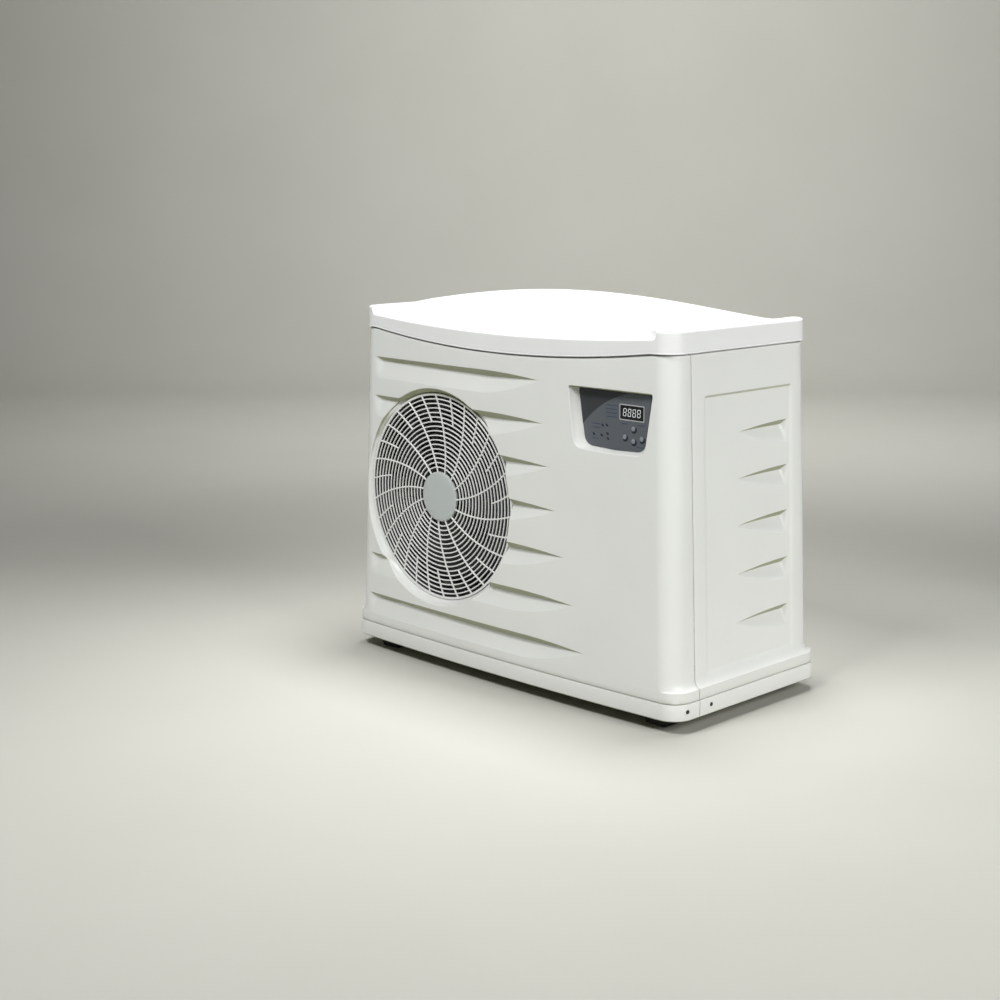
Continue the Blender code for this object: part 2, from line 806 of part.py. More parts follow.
def band_screw(name, x, y, angle):
    """A recess-headed screw through the casing's lower band, along an outward direction."""
    profile = [(0, 0.0016), (0.0026, 0.0022), (0.0040, 0.0014), (0.0040, GAP)]
    profile += [(0.0024, GAP), (0.0024, -0.0075), (0, -0.0085)]
    screw = turned(name, profile, "screw_steel", (x, y, 0.020), "X", 12)
    screw.rotation_euler = (0, math.pi / 2, angle)
    hole = cylinder(f"{name}_cutter", 0.0027, (x, y, 0.020), 0.06, None, "X", 12)
    hole.rotation_euler = screw.rotation_euler
    inward = Vector((-math.cos(angle), -math.sin(angle), 0)) * 0.03
    hole.location = Vector((x, y, 0.020)) + inward
    return hole


# ---------------------------------------------------------------- fan


def fan_grille():
    """The round flat outlet grille: hub cap, rings and swept ribs inside a rim."""
    gap = (GRILLE_RADIUS - 0.006 - HUB_CAP_RADIUS - GRILLE_RINGS * BAR) / (GRILLE_RINGS + 1)
    radii = [HUB_CAP_RADIUS]
    for _ in range(GRILLE_RINGS):
        radii.append(radii[-1] + gap)
        radii.append(radii[-1] + BAR)
    radii += [GRILLE_RADIUS - 0.006, GRILLE_RADIUS]
    columns = GRILLE_RIBS * 3
    bm = bmesh.new()
    rings = []
    for radius in radii:
        ring = []
        sweep = RIB_SWEEP * (radius / GRILLE_RADIUS - 0.24)
        for column in range(columns):
            rib, part = divmod(column, 3)
            half = BAR / 2 / radius
            pitch = math.tau / GRILLE_RIBS
            offset = (-half, half, pitch / 2)[part]
            angle = pitch * rib + offset + sweep
            ring.append(bm.verts.new((radius * math.cos(angle), 0.0, radius * math.sin(angle))))
        rings.append(ring)
    for index, (inner, outer) in enumerate(zip(rings, rings[1:])):
        open_row = index % 2 == 0 and index < 2 * GRILLE_RINGS + 1
        for column in range(columns):
            if open_row and column % 3:
                continue
            after = (column + 1) % columns
            bm.faces.new((inner[column], outer[column], outer[after], inner[after]))
    bm.faces.new(rings[0])
    bmesh.ops.recalc_face_normals(bm, faces=bm.faces)
    if bm.faces[0].normal.y > 0:
        bmesh.ops.reverse_faces(bm, faces=bm.faces)
    mesh = bpy.data.meshes.new("fan_grille")
    bm.to_mesh(mesh)
    bm.free()
    grille = place("fan_grille", mesh, "grille_abs", (FAN_X, GRILLE_Y, FAN_Z))
    return thicken(grille, GRILLE_THICKNESS)


def fan_orifice():
    """The plate behind the casing that carries the fan's round throat."""
    sides = 40
    half_x, low, high = 0.2545, 0.095, 0.700
    bell = (ORIFICE_RADIUS + ORIFICE_MOUTH_RADIUS) / 2
    rings = [(ORIFICE_MOUTH_RADIUS, ORIFICE_Y), (bell, ORIFICE_Y + 0.004)]
    rings += [(ORIFICE_RADIUS, ORIFICE_Y + 0.016), (ORIFICE_RADIUS, ORIFICE_BACK_Y)]
    loops = []
    square = []
    for i in range(sides):
        angle = math.tau * i / sides
        across, up = math.cos(angle), math.sin(angle)
        reach = min(
            half_x / max(abs(across), 1e-6),
            ((high - FAN_Z) if up > 0 else (FAN_Z - low)) / max(abs(up), 1e-6),
        )
        square.append((FAN_X + reach * across, ORIFICE_Y, FAN_Z + reach * up))
    loops.append(square)
    for radius, y in rings:
        loops.append([(x, y, z) for x, z in circle((FAN_X, FAN_Z), radius, sides)])
    return loft("fan_orifice", loops, "black_plastic", 0.002, cap_end=False)


def fan_rotor():
    """The axial fan: four twisted blades on a hub, turning about its own Z axis."""
    profile = [(0, 0.078), (0.012, 0.078), (0.012, 0.070), (FAN_HUB_RADIUS - 0.004, 0.070)]
    profile += [(FAN_HUB_RADIUS, 0.064), (FAN_HUB_RADIUS, 0.006), (FAN_HUB_RADIUS - 0.006, 0)]
    profile += [(0, 0)]
    rotor = turned("fan_rotor", profile, "fan_plastic", (FAN_X, 0.048, FAN_Z), "Y", 24)
    for number in range(FAN_BLADES):
        boolean(rotor, fan_blade(number), "UNION")
    return rotor


def fan_blade(number):
    """One blade of the fan, as a cutter-side solid that the hub is joined with."""
    spans, chords = 4, 3
    bm = bmesh.new()
    bmesh.ops.create_grid(bm, x_segments=spans, y_segments=chords, size=1.0)
    for vertex in bm.verts:
        out = (vertex.co.x + 1) / 2
        chord = vertex.co.y
        radius = FAN_HUB_RADIUS - 0.010 + (FAN_RADIUS - FAN_HUB_RADIUS + 0.010) * out
        half_angle = math.radians(33) * (0.80 + 0.25 * out)
        angle = half_angle * chord + math.radians(16) * out * out
        pitch = 0.026 * (1 - 0.15 * out)
        camber = 0.007 * (1 - chord * chord) * out
        height = 0.036 - pitch * chord - camber
        vertex.co = (radius * math.cos(angle), radius * math.sin(angle), height)
    mesh = mesh_from(f"blade_{number}", bm)
    blade = place(f"blade_{number}", mesh, None, (FAN_X, 0.048, FAN_Z), "Y")
    blade.rotation_euler.rotate_axis("Z", math.tau * number / FAN_BLADES)
    wall = blade.modifiers.new("wall", "SOLIDIFY")
    wall.thickness = 0.003
    wall.offset = 0
    return blade


def fan_drive():
    """The motor behind the fan and the bracket that it hangs on."""
    profile = [(0, 0.098), (0.030, 0.098), (MOTOR_RADIUS, 0.088), (MOTOR_RADIUS, 0.012)]
    profile += [(0.040, 0.002), (0.018, 0.0), (0.018, -0.008), (0.006, -0.008)]
    profile += [(0.006, -0.0245), (0, -0.0245)]
    turned("fan_motor", profile, "motor_paint", (FAN_X, 0.152, FAN_Z), "Y", 24)
    half = 0.085
    low, high = FLOOR_TOP + 0.001, 0.735
    frame = rectangle((FAN_X - half, low), (FAN_X + half, high))
    lower = rectangle((FAN_X - half + 0.022, low + 0.040), (FAN_X + half - 0.022, FAN_Z - 0.085))
    upper = rectangle((FAN_X - half + 0.022, FAN_Z + 0.085), (FAN_X + half - 0.022, high - 0.040))
    plate("motor_bracket", [frame, lower, upper], 0.2505, 0.003, "galvanised_steel")


# ---------------------------------------------------------------- coil and refrigerant circuit


def coil():
    """The air coil across the rear of the fan's half, between its two tube sheets."""
    low, high = FLOOR_TOP + 0.012, 0.715
    left, right = 0.074, 0.610
    box("evaporator_coil", (left, COIL_FRONT, low), (right, COIL_BACK, high), "coil_aluminium")
    for name, x, side in (("coil_end_left", left, -1), ("coil_end_right", right, 1)):
        near = x + side * 0.0008
        far = near + side * 0.002
        ends = (min(near, far), COIL_FRONT - 0.004, FLOOR_TOP + GAP)
        tops = (max(near, far), COIL_BACK + 0.004, 0.722)
        sheet = box(name, ends, tops, "galvanised_steel")
        for number in range(COIL_BENDS):
            z = 0.080 + 0.580 * number / (COIL_BENDS - 1)
            bend = return_bend(f"{name}_bend_{number}", far - side * 0.001, z, side)
            boolean(sheet, bend, "UNION")


def return_bend(name, x, z, side):
    """A copper return bend that joins two tubes of the coil, as a solid for its tube sheet."""
    half, middle = 0.0115, (COIL_FRONT + COIL_BACK) / 2
    curve = bpy.data.curves.new(name, "CURVE")
    curve.dimensions = "3D"
    curve.bevel_depth = 0.0048
    curve.bevel_resolution = 0
    curve.use_fill_caps = True
    spline = curve.splines.new("POLY")
    steps = 5
    spline.points.add(steps)
    for i in range(steps + 1):
        angle = math.pi * i / steps
        reach = half * math.sin(angle)
        spline.points[i].co = (x + side * reach, middle - half * math.cos(angle), z, 1.0)
    guide = place(f"{name}_guide", curve, None)
    evaluated = guide.evaluated_get(bpy.context.evaluated_depsgraph_get())
    mesh = bpy.data.meshes.new_from_object(evaluated)
    bm = bmesh.new()
    bm.from_mesh(mesh)
    bmesh.ops.remove_doubles(bm, verts=bm.verts, dist=0.00001)
    bm.to_mesh(mesh)
    bm.free()
    bpy.data.objects.remove(guide)
    return place(name, mesh, None)


def compressor_group():
    """The compressor on its three grommets, with the accumulator beside it."""
    x, y = COMPRESSOR
    seat = COMPRESSOR_SEAT
    profile = [(0, COMPRESSOR_HEIGHT), (0.020, 0.276), (0.044, 0.264), (0.060, 0.240), (0.0635, 0.232)]
    profile += [(0.0635, 0.222), (0.060, 0.216), (0.060, 0.030), (0.052, 0.010), (0.052, 0.003)]
    profile += [(0.086, 0.003), (0.086, 0.0), (0, 0.0)]
    turned("compressor", profile, "compressor_paint", (x, y, seat), "Z", 24)
    for number in range(3):
        angle = math.tau * number / 3 + math.pi / 2
        spot = (x + 0.070 * math.cos(angle), y + 0.070 * math.sin(angle), FLOOR_TOP + GAP)
        height = seat - FLOOR_TOP - 2 * GAP
        cylinder(f"compressor_grommet_{number + 1}", 0.012, spot, height, "foot_rubber", "Z", 12)
    profile = [(0, 0.190), (0.014, 0.186), (0.026, 0.170), (0.026, 0.020), (0.014, 0.004), (0, 0)]
    turned("accumulator", profile, "compressor_paint", (0.681, 0.150, 0.070), "Z", 16)


def heat_exchanger():
    """The upright vessel round the titanium coil, where the pool water is warmed."""
    x, y = EXCHANGER
    r = EXCHANGER_RADIUS
    profile = [(0, 0.520), (0.030, 0.516), (r - 0.008, 0.500), (r, 0.484), (r + 0.004, 0.484)]
    profile += [(r + 0.004, 0.456), (r, 0.456), (r, 0.044), (r + 0.004, 0.044), (r + 0.004, 0.016)]
    profile += [(r, 0.016), (r - 0.006, 0.0), (0, 0.0)]
    turned("heat_exchanger", profile, "grey_pvc", (x, y, FLOOR_TOP + GAP), "Z", 24)
    cap = [(0, 0.046), (0.013, 0.046), (0.013, 0.012), (0.016, 0.010), (0.016, 0), (0, 0)]
    top = FLOOR_TOP + 0.520 + 2 * GAP
    turned("flow_switch", cap, "black_plastic", (x, y, top), "Z", 12)


def water_line(name, z):
    """One water connection: its pipe, its union nut and the tailpiece for the pool's pipe."""
    x, y = EXCHANGER
    start = y + EXCHANGER_RADIUS + 0.0015
    thread = 0.494
    seat = 0.5160
    bore = WATER_BORE
    length = seat - start
    profile = [(bore, length), (0.0300, length), (0.0300, thread - start), (0.0250, thread - start)]
    profile += [(0.0250, 0), (bore, 0)]
    turned(f"{name}_pipe", rising(profile), "grey_pvc", (x, start, z), "Y", 24, ring=True)
    tail = seat + GAP
    end = UNION_END - tail
    profile = [(bore, end), (0.0262, end), (0.0262, 0.005), (0.0296, 0.005), (0.0296, 0), (bore, 0)]
    turned(f"{name}_tailpiece", rising(profile), "grey_pvc", (x, tail, z), "Y", 24, ring=True)
    union_nut(f"{name}_union_nut", x, z, tail + 0.005 + GAP)


def rising(profile):
    """The same ring profile, started so that it runs down the outside first."""
    return profile[1:] + profile[:1]


def union_nut(name, x, z, shoulder):
    """A hand-turned union nut with grip ribs, its lip behind the tailpiece's flange."""
    start, end = 0.4965, shoulder + 0.005
    length = end - start
    lip = shoulder - start
    profile = [(0.0385, length - 0.002), (0.0385, 0.0), (0.0306, 0.0), (0.0306, lip)]
    profile += [(0.0268, lip), (0.0268, length), (0.0365, length)]
    nut = turned(name, profile, "grey_pvc", (x, start, z), "Y", 24, ring=True)
    for number in range(NUT_RIBS):
        angle = math.tau * number / NUT_RIBS
        rib = box(
            f"{name}_rib_{number}",
            (-0.004, 0.002, 0.036),
            (0.004, length - 0.004, 0.0425),
            None,
        )
        spot = Vector((0, 0.5 * length - 0.001, 0.03925))
        spot.rotate(Euler((0, angle, 0)))
        rib.location = Vector((x, start, z)) + spot
        rib.rotation_euler = (0, angle, 0)
        boolean(nut, rib, "UNION")
    return nut


def circuit_parts():
    """The four-way valve, expansion valve, drier and the copper lines between the vessels."""
    valve = [(0, 0.100), (0.009, 0.098), (0.014, 0.092), (0.014, 0.008), (0.009, 0.002), (0, 0)]
    turned("four_way_valve", valve, "brass", (0.700, 0.330, 0.440), "X", 16)
    body = [(0, 0.060), (0.014, 0.060), (0.014, 0.030), (0.008, 0.028), (0.008, 0), (0, 0)]
    turned("expansion_valve", body, "brass", (0.676, 0.405, 0.260), "Z", 16)
    drier = [(0, 0.120), (0.006, 0.118), (0.018, 0.100), (0.018, 0.020), (0.006, 0.002), (0, 0)]
    turned("filter_drier", drier, "copper", (0.720, 0.405, 0.080), "Z", 16)
    x, y = COMPRESSOR
    dome = COMPRESSOR_SEAT + COMPRESSOR_HEIGHT + 0.001
    side = EXCHANGER[0] - EXCHANGER_RADIUS - 0.0015
    stub_x, stub_y = 0.681, 0.150
    valve_x, valve_y, valve_z = 0.700, 0.330, 0.440
    across, below, above = 0.735, 0.4255, 0.4548
    runs = {
        "discharge_line": (0.005, 0.022, [
            (x, y, dome), (x, y, 0.385), (across, valve_y, 0.385), (across, valve_y, below),
        ]),
        "suction_line": (0.0065, 0.012, [
            (stub_x, stub_y, 0.261), (stub_x, stub_y, 0.480), (0.750, valve_y, 0.480),
            (0.750, valve_y, above),
        ]),
        "exchanger_gas_line": (0.005, 0.010, [
            (valve_x + 0.1008, valve_y, valve_z), (0.815, valve_y, valve_z),
            (0.815, EXCHANGER[1], 0.350), (side, EXCHANGER[1], 0.350),
        ]),
        "coil_gas_line": (0.006, 0.012, [
            (0.7765, valve_y, above), (0.7765, valve_y, 0.560), (0.660, 0.405, 0.560),
            (0.6285, 0.420, 0.560),
        ]),
        "liquid_line": (0.004, 0.008, [
            (side, 0.385, 0.062), (0.790, 0.405, 0.062), (0.720, 0.405, 0.062),
            (0.720, 0.405, 0.0795),
        ]),
    }
    for name, (radius, bend, corners) in runs.items():
        pipe(name, corners, radius, "copper", bend)


# ---------------------------------------------------------------- electrics and controls


def electrics():
    """The electrics box behind the control panel, with what it holds."""
    low, high = (0.660, 0.062, 0.500), (0.960, 0.205, 0.700)
    box_wall = 0.002
    corners = [(low[0], low[1]), (low[0], high[1]), (high[0], high[1]), (high[0], low[1])]
    loops = [[(x, y, z) for x, y in corners] for z in (high[2], low[2])]
    loft("electrics_box", loops, "galvanised_steel", thickness=box_wall)
    cover_low = (low[0] - 0.003, low[1] - 0.003, high[2] + GAP)
    cover_high = (high[0] + 0.003, high[1] + 0.003, high[2] + 0.0025)
    box("electrics_cover", cover_low, cover_high, "galvanised_steel")
    floor = low[2] + box_wall + GAP
    box("control_board", (0.690, 0.070, floor), (0.810, 0.160, floor + 0.004), "board_green")
    for name, left, right, height in (
        ("terminal_block", (0.830, 0.075), (0.935, 0.105), 0.028),
        ("contactor", (0.700, 0.168), (0.760, 0.200), 0.060),
    ):
        box(name, (*left, floor), (*right, floor + height), "black_plastic", 0.002)
    cylinder("run_capacitor", 0.020, (0.870, 0.160, floor), 0.090, "button_grey", "Z", 16)


def controls():
    """The controller: housing, face plate, display window and four buttons."""
    face_back = PANEL_FACE_Y + 0.0025
    holes = [rectangle(*DISPLAY)]
    holes += [circle(spot, BUTTON_RADIUS + 0.0004, 16) for spot in BUTTONS.values()]
    outline = panel_outline(POCKET_BACK_Y + 0.001, -0.0004)
    plate("control_face", [outline] + holes, PANEL_FACE_Y, 0.0025, "panel_grey")
    (left, low), (right, high) = DISPLAY
    glass_low = (left + GAP, PANEL_FACE_Y - 0.0006, low + GAP)
    glass_high = (right - GAP, face_back + 0.001, high - GAP)
    box("display_window", glass_low, glass_high, "display_black")
    back = face_back + 0.0016
    housing_low, housing_high = (0.765, back + 0.0004, 0.558), (0.935, back + 0.024, 0.655)
    box("controller_housing", housing_low, housing_high, "black_plastic", 0.002)
    for name, (x, z) in BUTTONS.items():
        length = back - PANEL_FACE_Y - 0.0014 + BUTTON_STANDS
        profile = [(0, length), (BUTTON_RADIUS - 0.0006, length), (BUTTON_RADIUS, length - 0.0006)]
        profile += [(BUTTON_RADIUS, 0), (0, 0)]
        foot_y = PANEL_FACE_Y - BUTTON_STANDS + length
        button = turned(name, profile, "button_grey", (x, foot_y, z), "Y", 16)
        button.rotation_euler = (math.pi / 2, 0, 0)


def fittings():
    """The cable gland in the rear panel and the drain spout under the base."""
    wall_y = DEPTH - rear_inset(GLAND[1])
    r = 0.0065
    profile = [(0.0090, 0.020), (0.0120, 0.016), (0.0145, 0.013), (0.0145, GAP)]
    profile += [(0.0100, GAP), (0.0100, -0.012), (r, -0.012), (r, 0.020)]
    turned("cable_gland", profile, "black_plastic", (GLAND[0], wall_y, GLAND[1]), "Y", 16, ring=True)
    top = FLOOR_TOP + 0.002
    profile = [(0.0150, top), (0.0150, FLOOR_TOP + GAP), (0.0100, FLOOR_TOP + GAP)]
    profile += [(0.0100, -0.022), (0.0075, -0.022), (0.0075, top)]
    turned("drain_spout", profile, "black_plastic", (DRAIN[0], DRAIN[1], 0), "Z", 16, ring=True)


def bulkhead():
    """The steel wall between the fan's half and the compressor's half."""
    outline = rectangle((0.040, FLOOR_TOP + GAP), (0.462, 0.738))
    notch_y, notch_z = 0.395, 0.545
    hole = rectangle((notch_y, notch_z), (notch_y + 0.030, notch_z + 0.030))
    plate("bulkhead", [outline, hole], BULKHEAD_X, 0.002, "galvanised_steel", facing="X")


def rear_guard():
    """The grid that keeps fingers and leaves off the coil."""
    left, right, low, high = REAR_OPENING
    margin, bar = 0.012, 0.005
    frame = rectangle((left - margin, low - margin), (right + margin, high + margin))
    columns, rows = 6, 8
    width = (right - left - bar * (columns - 1)) / columns
    height = (high - low - bar * (rows - 1)) / rows
    holes = []
    for column in range(columns):
        for row in range(rows):
            x = left + column * (width + bar)
            z = low + row * (height + bar)
            holes.append(rectangle((x, z), (x + width, z + height)))
    plate("rear_guard", [frame] + holes, 0.4665, 0.003, "black_plastic")


def build():
    """Makes every piece of the unit."""
    front = casing_front()
    left_side = casing_side("left_side_panel", False)
    right_side = casing_side("right_side_panel", True)
    casing_rear()
    tray = base_tray()
    lid()
    for name, x, y in (
        ("foot_front_left", 0.090, 0.062),
        ("foot_front_right", WIDTH - 0.090, 0.062),
        ("foot_rear_left", 0.090, DEPTH - 0.062),
        ("foot_rear_right", WIDTH - 0.090, DEPTH - 0.062),
    ):
        foot(name, x, y)
    tilt = math.radians(10)
    corner_y = CORNER_RADIUS - bulge(CORNER_RADIUS)
    spot_x = CORNER_RADIUS * (1 - math.cos(tilt))
    spot_y = corner_y - CORNER_RADIUS * math.sin(tilt)
    for name, x, y, angle, panel in (
        ("screw_front_right", WIDTH - spot_x, spot_y, -tilt, front),
        ("screw_front_left", spot_x, spot_y, math.pi + tilt, front),
        ("screw_side_right", WIDTH, 0.110, 0.0, right_side),
        ("screw_side_left", 0.0, 0.110, math.pi, left_side),
    ):
        hole = band_screw(name, x, y, angle)
        boolean(panel, hole)
        boolean(tray, hole)
    fan_grille()
    fan_orifice()
    fan_rotor()
    fan_drive()
    bulkhead()
    coil()
    rear_guard()
    compressor_group()
    heat_exchanger()
    for name, z in WATER_HEIGHTS.items():
        water_line(name, z)
    circuit_parts()
    electrics()
    controls()
    fittings()


build()
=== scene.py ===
"""Looks of the pool heat pump: moulded casing, lid, grille, controls, coil, fittings and their finishes.

Shapes are worked out in the unit's own frame, measured in metres from the front left corner of
the base: x to the right, y to the back, z up. CORNER is where that corner stands in the frame.
"""
import json
import math

import bmesh
import bpy
from mathutils import Matrix, Vector


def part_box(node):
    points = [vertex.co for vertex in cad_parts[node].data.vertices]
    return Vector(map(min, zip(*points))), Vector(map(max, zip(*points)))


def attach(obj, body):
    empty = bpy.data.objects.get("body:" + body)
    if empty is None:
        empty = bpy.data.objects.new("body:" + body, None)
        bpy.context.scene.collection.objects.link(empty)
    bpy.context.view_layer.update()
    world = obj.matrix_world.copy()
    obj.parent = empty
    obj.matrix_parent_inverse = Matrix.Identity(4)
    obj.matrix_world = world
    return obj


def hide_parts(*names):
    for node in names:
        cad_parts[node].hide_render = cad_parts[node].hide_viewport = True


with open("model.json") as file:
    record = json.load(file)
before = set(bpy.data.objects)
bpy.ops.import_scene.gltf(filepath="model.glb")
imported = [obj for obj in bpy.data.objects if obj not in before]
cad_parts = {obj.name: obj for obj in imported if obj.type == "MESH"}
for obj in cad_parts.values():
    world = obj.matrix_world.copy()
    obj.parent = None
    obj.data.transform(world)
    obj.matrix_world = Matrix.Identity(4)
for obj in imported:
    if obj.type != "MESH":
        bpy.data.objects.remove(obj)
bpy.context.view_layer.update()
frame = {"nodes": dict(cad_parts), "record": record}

FRONT_LOW, FRONT_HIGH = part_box("front_casing")
REAR_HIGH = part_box("rear_panel")[1]
WIDTH = FRONT_HIGH.x - FRONT_LOW.x
DEPTH = 0.490
CORNER = Vector((FRONT_LOW.x, REAR_HIGH.y - DEPTH, FRONT_LOW.z))

# Casing, as the frame has it
FRONT_BULGE = 0.016
CASING_TOP = 0.758
SKIN_WALL = 0.0025
CORNER_RADIUS = 0.045
FLANGE_TOP = 0.060
FILLET_TOP = 0.080
SIDE_FLARE, SIDE_DRAFT = 0.015, 0.020
FRONT_FLARE, FRONT_DRAFT = 0.0022, 0.0138
REAR_FLARE, REAR_DRAFT = 0.010, 0.006
SEAM_Y = 0.0735
REAR_SEAM_X = 0.094
SEAM_GAP = 0.0012
# The base band's section: (height, how far in), with a groove above the band
BAND_PROFILE = (
    (0.0, 0.0022), (0.0008, 0.0009), (0.0022, 0.0002), (0.0040, 0.0), (0.0340, 0.0),
    (0.0350, 0.0003), (0.0355, 0.0012), (0.0357, 0.0044), (0.0371, 0.0044), (0.0373, 0.0020),
    (0.0381, 0.0015), (FLANGE_TOP, 0.0015),
)

# Louvres
LOUVRES = 7
CREASES = (0.1105, 0.2090, 0.3092, 0.4065, 0.4995, 0.5915, 0.6835)
LEDGE = 0.0160
DISH_HEIGHT = 0.052
DISH_DEPTH = 0.0150
LOUVRE_END = 0.022
LOUVRE_START, LOUVRE_SWELL = 0.62, 0.40
LOUVRE_TAPER = 0.185
# The lowest louvre's start and the shift to the top one; the top one's tip and the lowest one's reach
START_LOW, START_SHIFT = 0.059, 0.023
TIP_HIGH, TIP_REACH, TIP_CURVE = 0.638, 0.141, 1.35
LEAF_CURVE = 1.7
CREASE_DROP = 0.010

# Fan mouth and grille
FAN_X, FAN_Z = 0.301, 0.3735
MOUTH_CUT = 0.2545
MOUTH_ROUNDING = 0.0040
MOUTH_BACK_RADIUS = 0.2402
MOUTH_BACK_Y = 0.0170
GRILLE_RADIUS = 0.2392
GRILLE_FRONT, GRILLE_BACK = 0.0125, 0.0160
HUB_RADIUS = 0.058
RINGS = 17
RIBS = 15
SHORT_RIB_RING = 11
RIB_SWEEP = math.radians(21)

# Control recess
PANEL_X = 0.839
PANEL_TOP, PANEL_BOTTOM = 0.670, 0.5425
PANEL_TOP_HALF, PANEL_BOTTOM_HALF = 0.114, 0.0945
POCKET_BACK_Y = 0.0235
FACE_Y = 0.0215
POCKET_SIDE_DRAFT, POCKET_LEVEL_DRAFT = 0.0115, 0.004
POCKET_ROUNDING = 0.0026

# Lid
LID_SIDE_INSET, LID_FRONT_INSET = 0.0305, 0.0118
LID_RADIUS = 0.046
LID_BOTTOM, LID_TOP = 0.753, 0.801
LID_ARC_HALF, LID_ARC_DIP = 0.430, 0.028
LID_EDGE_STEP, LID_EDGE_DIP = 0.017, 0.017
LID_STEP_RUN = 0.030
LID_CROWN = 0.046
LID_WALL = 0.0026

# Water connections, coil and rear
WATER_X = 0.903
WATER_HEIGHTS = {"inlet": 0.150, "outlet": 0.420}
PIPE_HOLE = 0.0262
REAR_OPENING = (0.142, 0.590, 0.110, 0.690)
INTAKE_RADIUS, INTAKE_BACK_Y = 0.012, 0.4710
# Depths between which the cutters reach through the rear
THROUGH_REAR = (0.44, 0.52)


# ---------------------------------------------------------------- materials

# How far a face's normal leans down where the painted shade starts, and where it is full
PAINTED_SHADE_STARTS, PAINTED_SHADE_FULL = -0.22, -0.62


class Finish:
    """A node-based material in the making."""

    def __init__(self, name, colour, roughness, metallic=0.0):
        self.material = bpy.data.materials.new(name)
        self.material.use_nodes = True
        self.nodes = self.material.node_tree.nodes
        self.links = self.material.node_tree.links
        self.shader = self.nodes["Principled BSDF"]
        self.shader.inputs["Base Color"].default_value = (*colour, 1.0)
        self.shader.inputs["Roughness"].default_value = roughness
        self.shader.inputs["Metallic"].default_value = metallic
        self.material.diffuse_color = (*colour, 1.0)
        self.colour = colour
        self.roughness = roughness
        self.place = self.nodes.new("ShaderNodeTexCoord").outputs["Object"]
        self.normal = None

    def noise(self, scale, detail=3.0, stretch=None):
        """A noise value over the object, with an optional stretch of each axis."""
        texture = self.nodes.new("ShaderNodeTexNoise")
        texture.inputs["Scale"].default_value = scale
        texture.inputs["Detail"].default_value = detail
        place = self.place
        if stretch:
            mapping = self.nodes.new("ShaderNodeMapping")
            mapping.inputs["Scale"].default_value = stretch
            self.links.new(place, mapping.inputs["Vector"])
            place = mapping.outputs["Vector"]
        self.links.new(place, texture.inputs["Vector"])
        return texture.outputs["Fac"]

    def spread(self, value, low, high):
        """Maps a noise value's middle range to low and high."""
        node = self.nodes.new("ShaderNodeMapRange")
        node.inputs["From Min"].default_value = 0.3
        node.inputs["From Max"].default_value = 0.7
        node.inputs["To Min"].default_value = low
        node.inputs["To Max"].default_value = high
        self.links.new(value, node.inputs["Value"])
        return node.outputs["Result"]

    def tint(self, value, other, share=1.0):
        """Lets a value vary the colour between the material's own and another."""
        ramp = self.nodes.new("ShaderNodeValToRGB")
        ramp.color_ramp.elements[0].position = 0.35
        ramp.color_ramp.elements[1].position = 0.35 + 0.4 / max(share, 0.1)
        ramp.color_ramp.elements[0].color = (*self.colour, 1.0)
        ramp.color_ramp.elements[1].color = (*other, 1.0)
        self.links.new(value, ramp.inputs["Fac"])
        self.links.new(ramp.outputs["Color"], self.shader.inputs["Base Color"])
        return self

    def paint_underside_shade(self, other):
        """Paints shade: mixes another colour into the faces that look down, as if they lay in shadow."""
        split = self.nodes.new("ShaderNodeSeparateXYZ")
        geometry = self.nodes.new("ShaderNodeNewGeometry")
        self.links.new(geometry.outputs["Normal"], split.inputs["Vector"])
        down = self.nodes.new("ShaderNodeMapRange")
        down.inputs["From Min"].default_value = PAINTED_SHADE_STARTS
        down.inputs["From Max"].default_value = PAINTED_SHADE_FULL
        self.links.new(split.outputs["Z"], down.inputs["Value"])
        blend = self.nodes.new("ShaderNodeMix")
        blend.data_type = "RGBA"
        self.links.new(down.outputs["Result"], blend.inputs[0])
        self.links.new(self.shader.inputs["Base Color"].links[0].from_socket, blend.inputs[6])
        blend.inputs[7].default_value = (*other, 1.0)
        self.links.new(blend.outputs[2], self.shader.inputs["Base Color"])

    def vary_roughness(self, value, amount):
        """Lets a value vary the roughness by an amount to each side."""
        self.links.new(
            self.spread(value, self.roughness - amount, self.roughness + amount),
            self.shader.inputs["Roughness"],
        )
        return self

    def bump(self, value, strength, distance=0.001):
        """Adds relief from a value on top of any relief so far."""
        node = self.nodes.new("ShaderNodeBump")
        node.inputs["Strength"].default_value = strength
        node.inputs["Distance"].default_value = distance
        self.links.new(value, node.inputs["Height"])
        if self.normal:
            self.links.new(self.normal, node.inputs["Normal"])
        self.normal = node.outputs["Normal"]
        self.links.new(self.normal, self.shader.inputs["Normal"])
        return self


def moulded_plastic(
    name, colour, roughness, shade=0.96, grain=900.0, relief=0.10, coat=0.0, underside_shade=None
):
    """Moulded plastic: faint mottling, uneven gloss, fine orange peel and slow sink waves, with painted
    shade on the faces that look down when a shade colour is given.
    """
    finish = Finish(name, colour, roughness)
    darker = tuple(channel * shade for channel in colour)
    finish.tint(finish.noise(4.0, 4.0), darker)
    # Painted shade: the faces that look down take a darker colour.
    if underside_shade:
        finish.paint_underside_shade(underside_shade)
    finish.vary_roughness(finish.noise(22.0, 3.0), 0.035)
    finish.bump(finish.noise(grain, 2.0), relief, 0.0003)
    finish.bump(finish.noise(7.0, 1.0), 0.05, 0.004)
    finish.shader.inputs["Coat Weight"].default_value = coat
    finish.shader.inputs["Coat Roughness"].default_value = 0.25
    return finish.material


def rubber(name, colour):
    """Matt rubber with dust in its grain."""
    finish = Finish(name, colour, 0.82)
    finish.tint(finish.noise(60.0, 6.0), (0.055, 0.052, 0.048), 0.7)
    finish.vary_roughness(finish.noise(35.0), 0.06)
    finish.bump(finish.noise(700.0, 2.0), 0.35, 0.0004)
    return finish.material


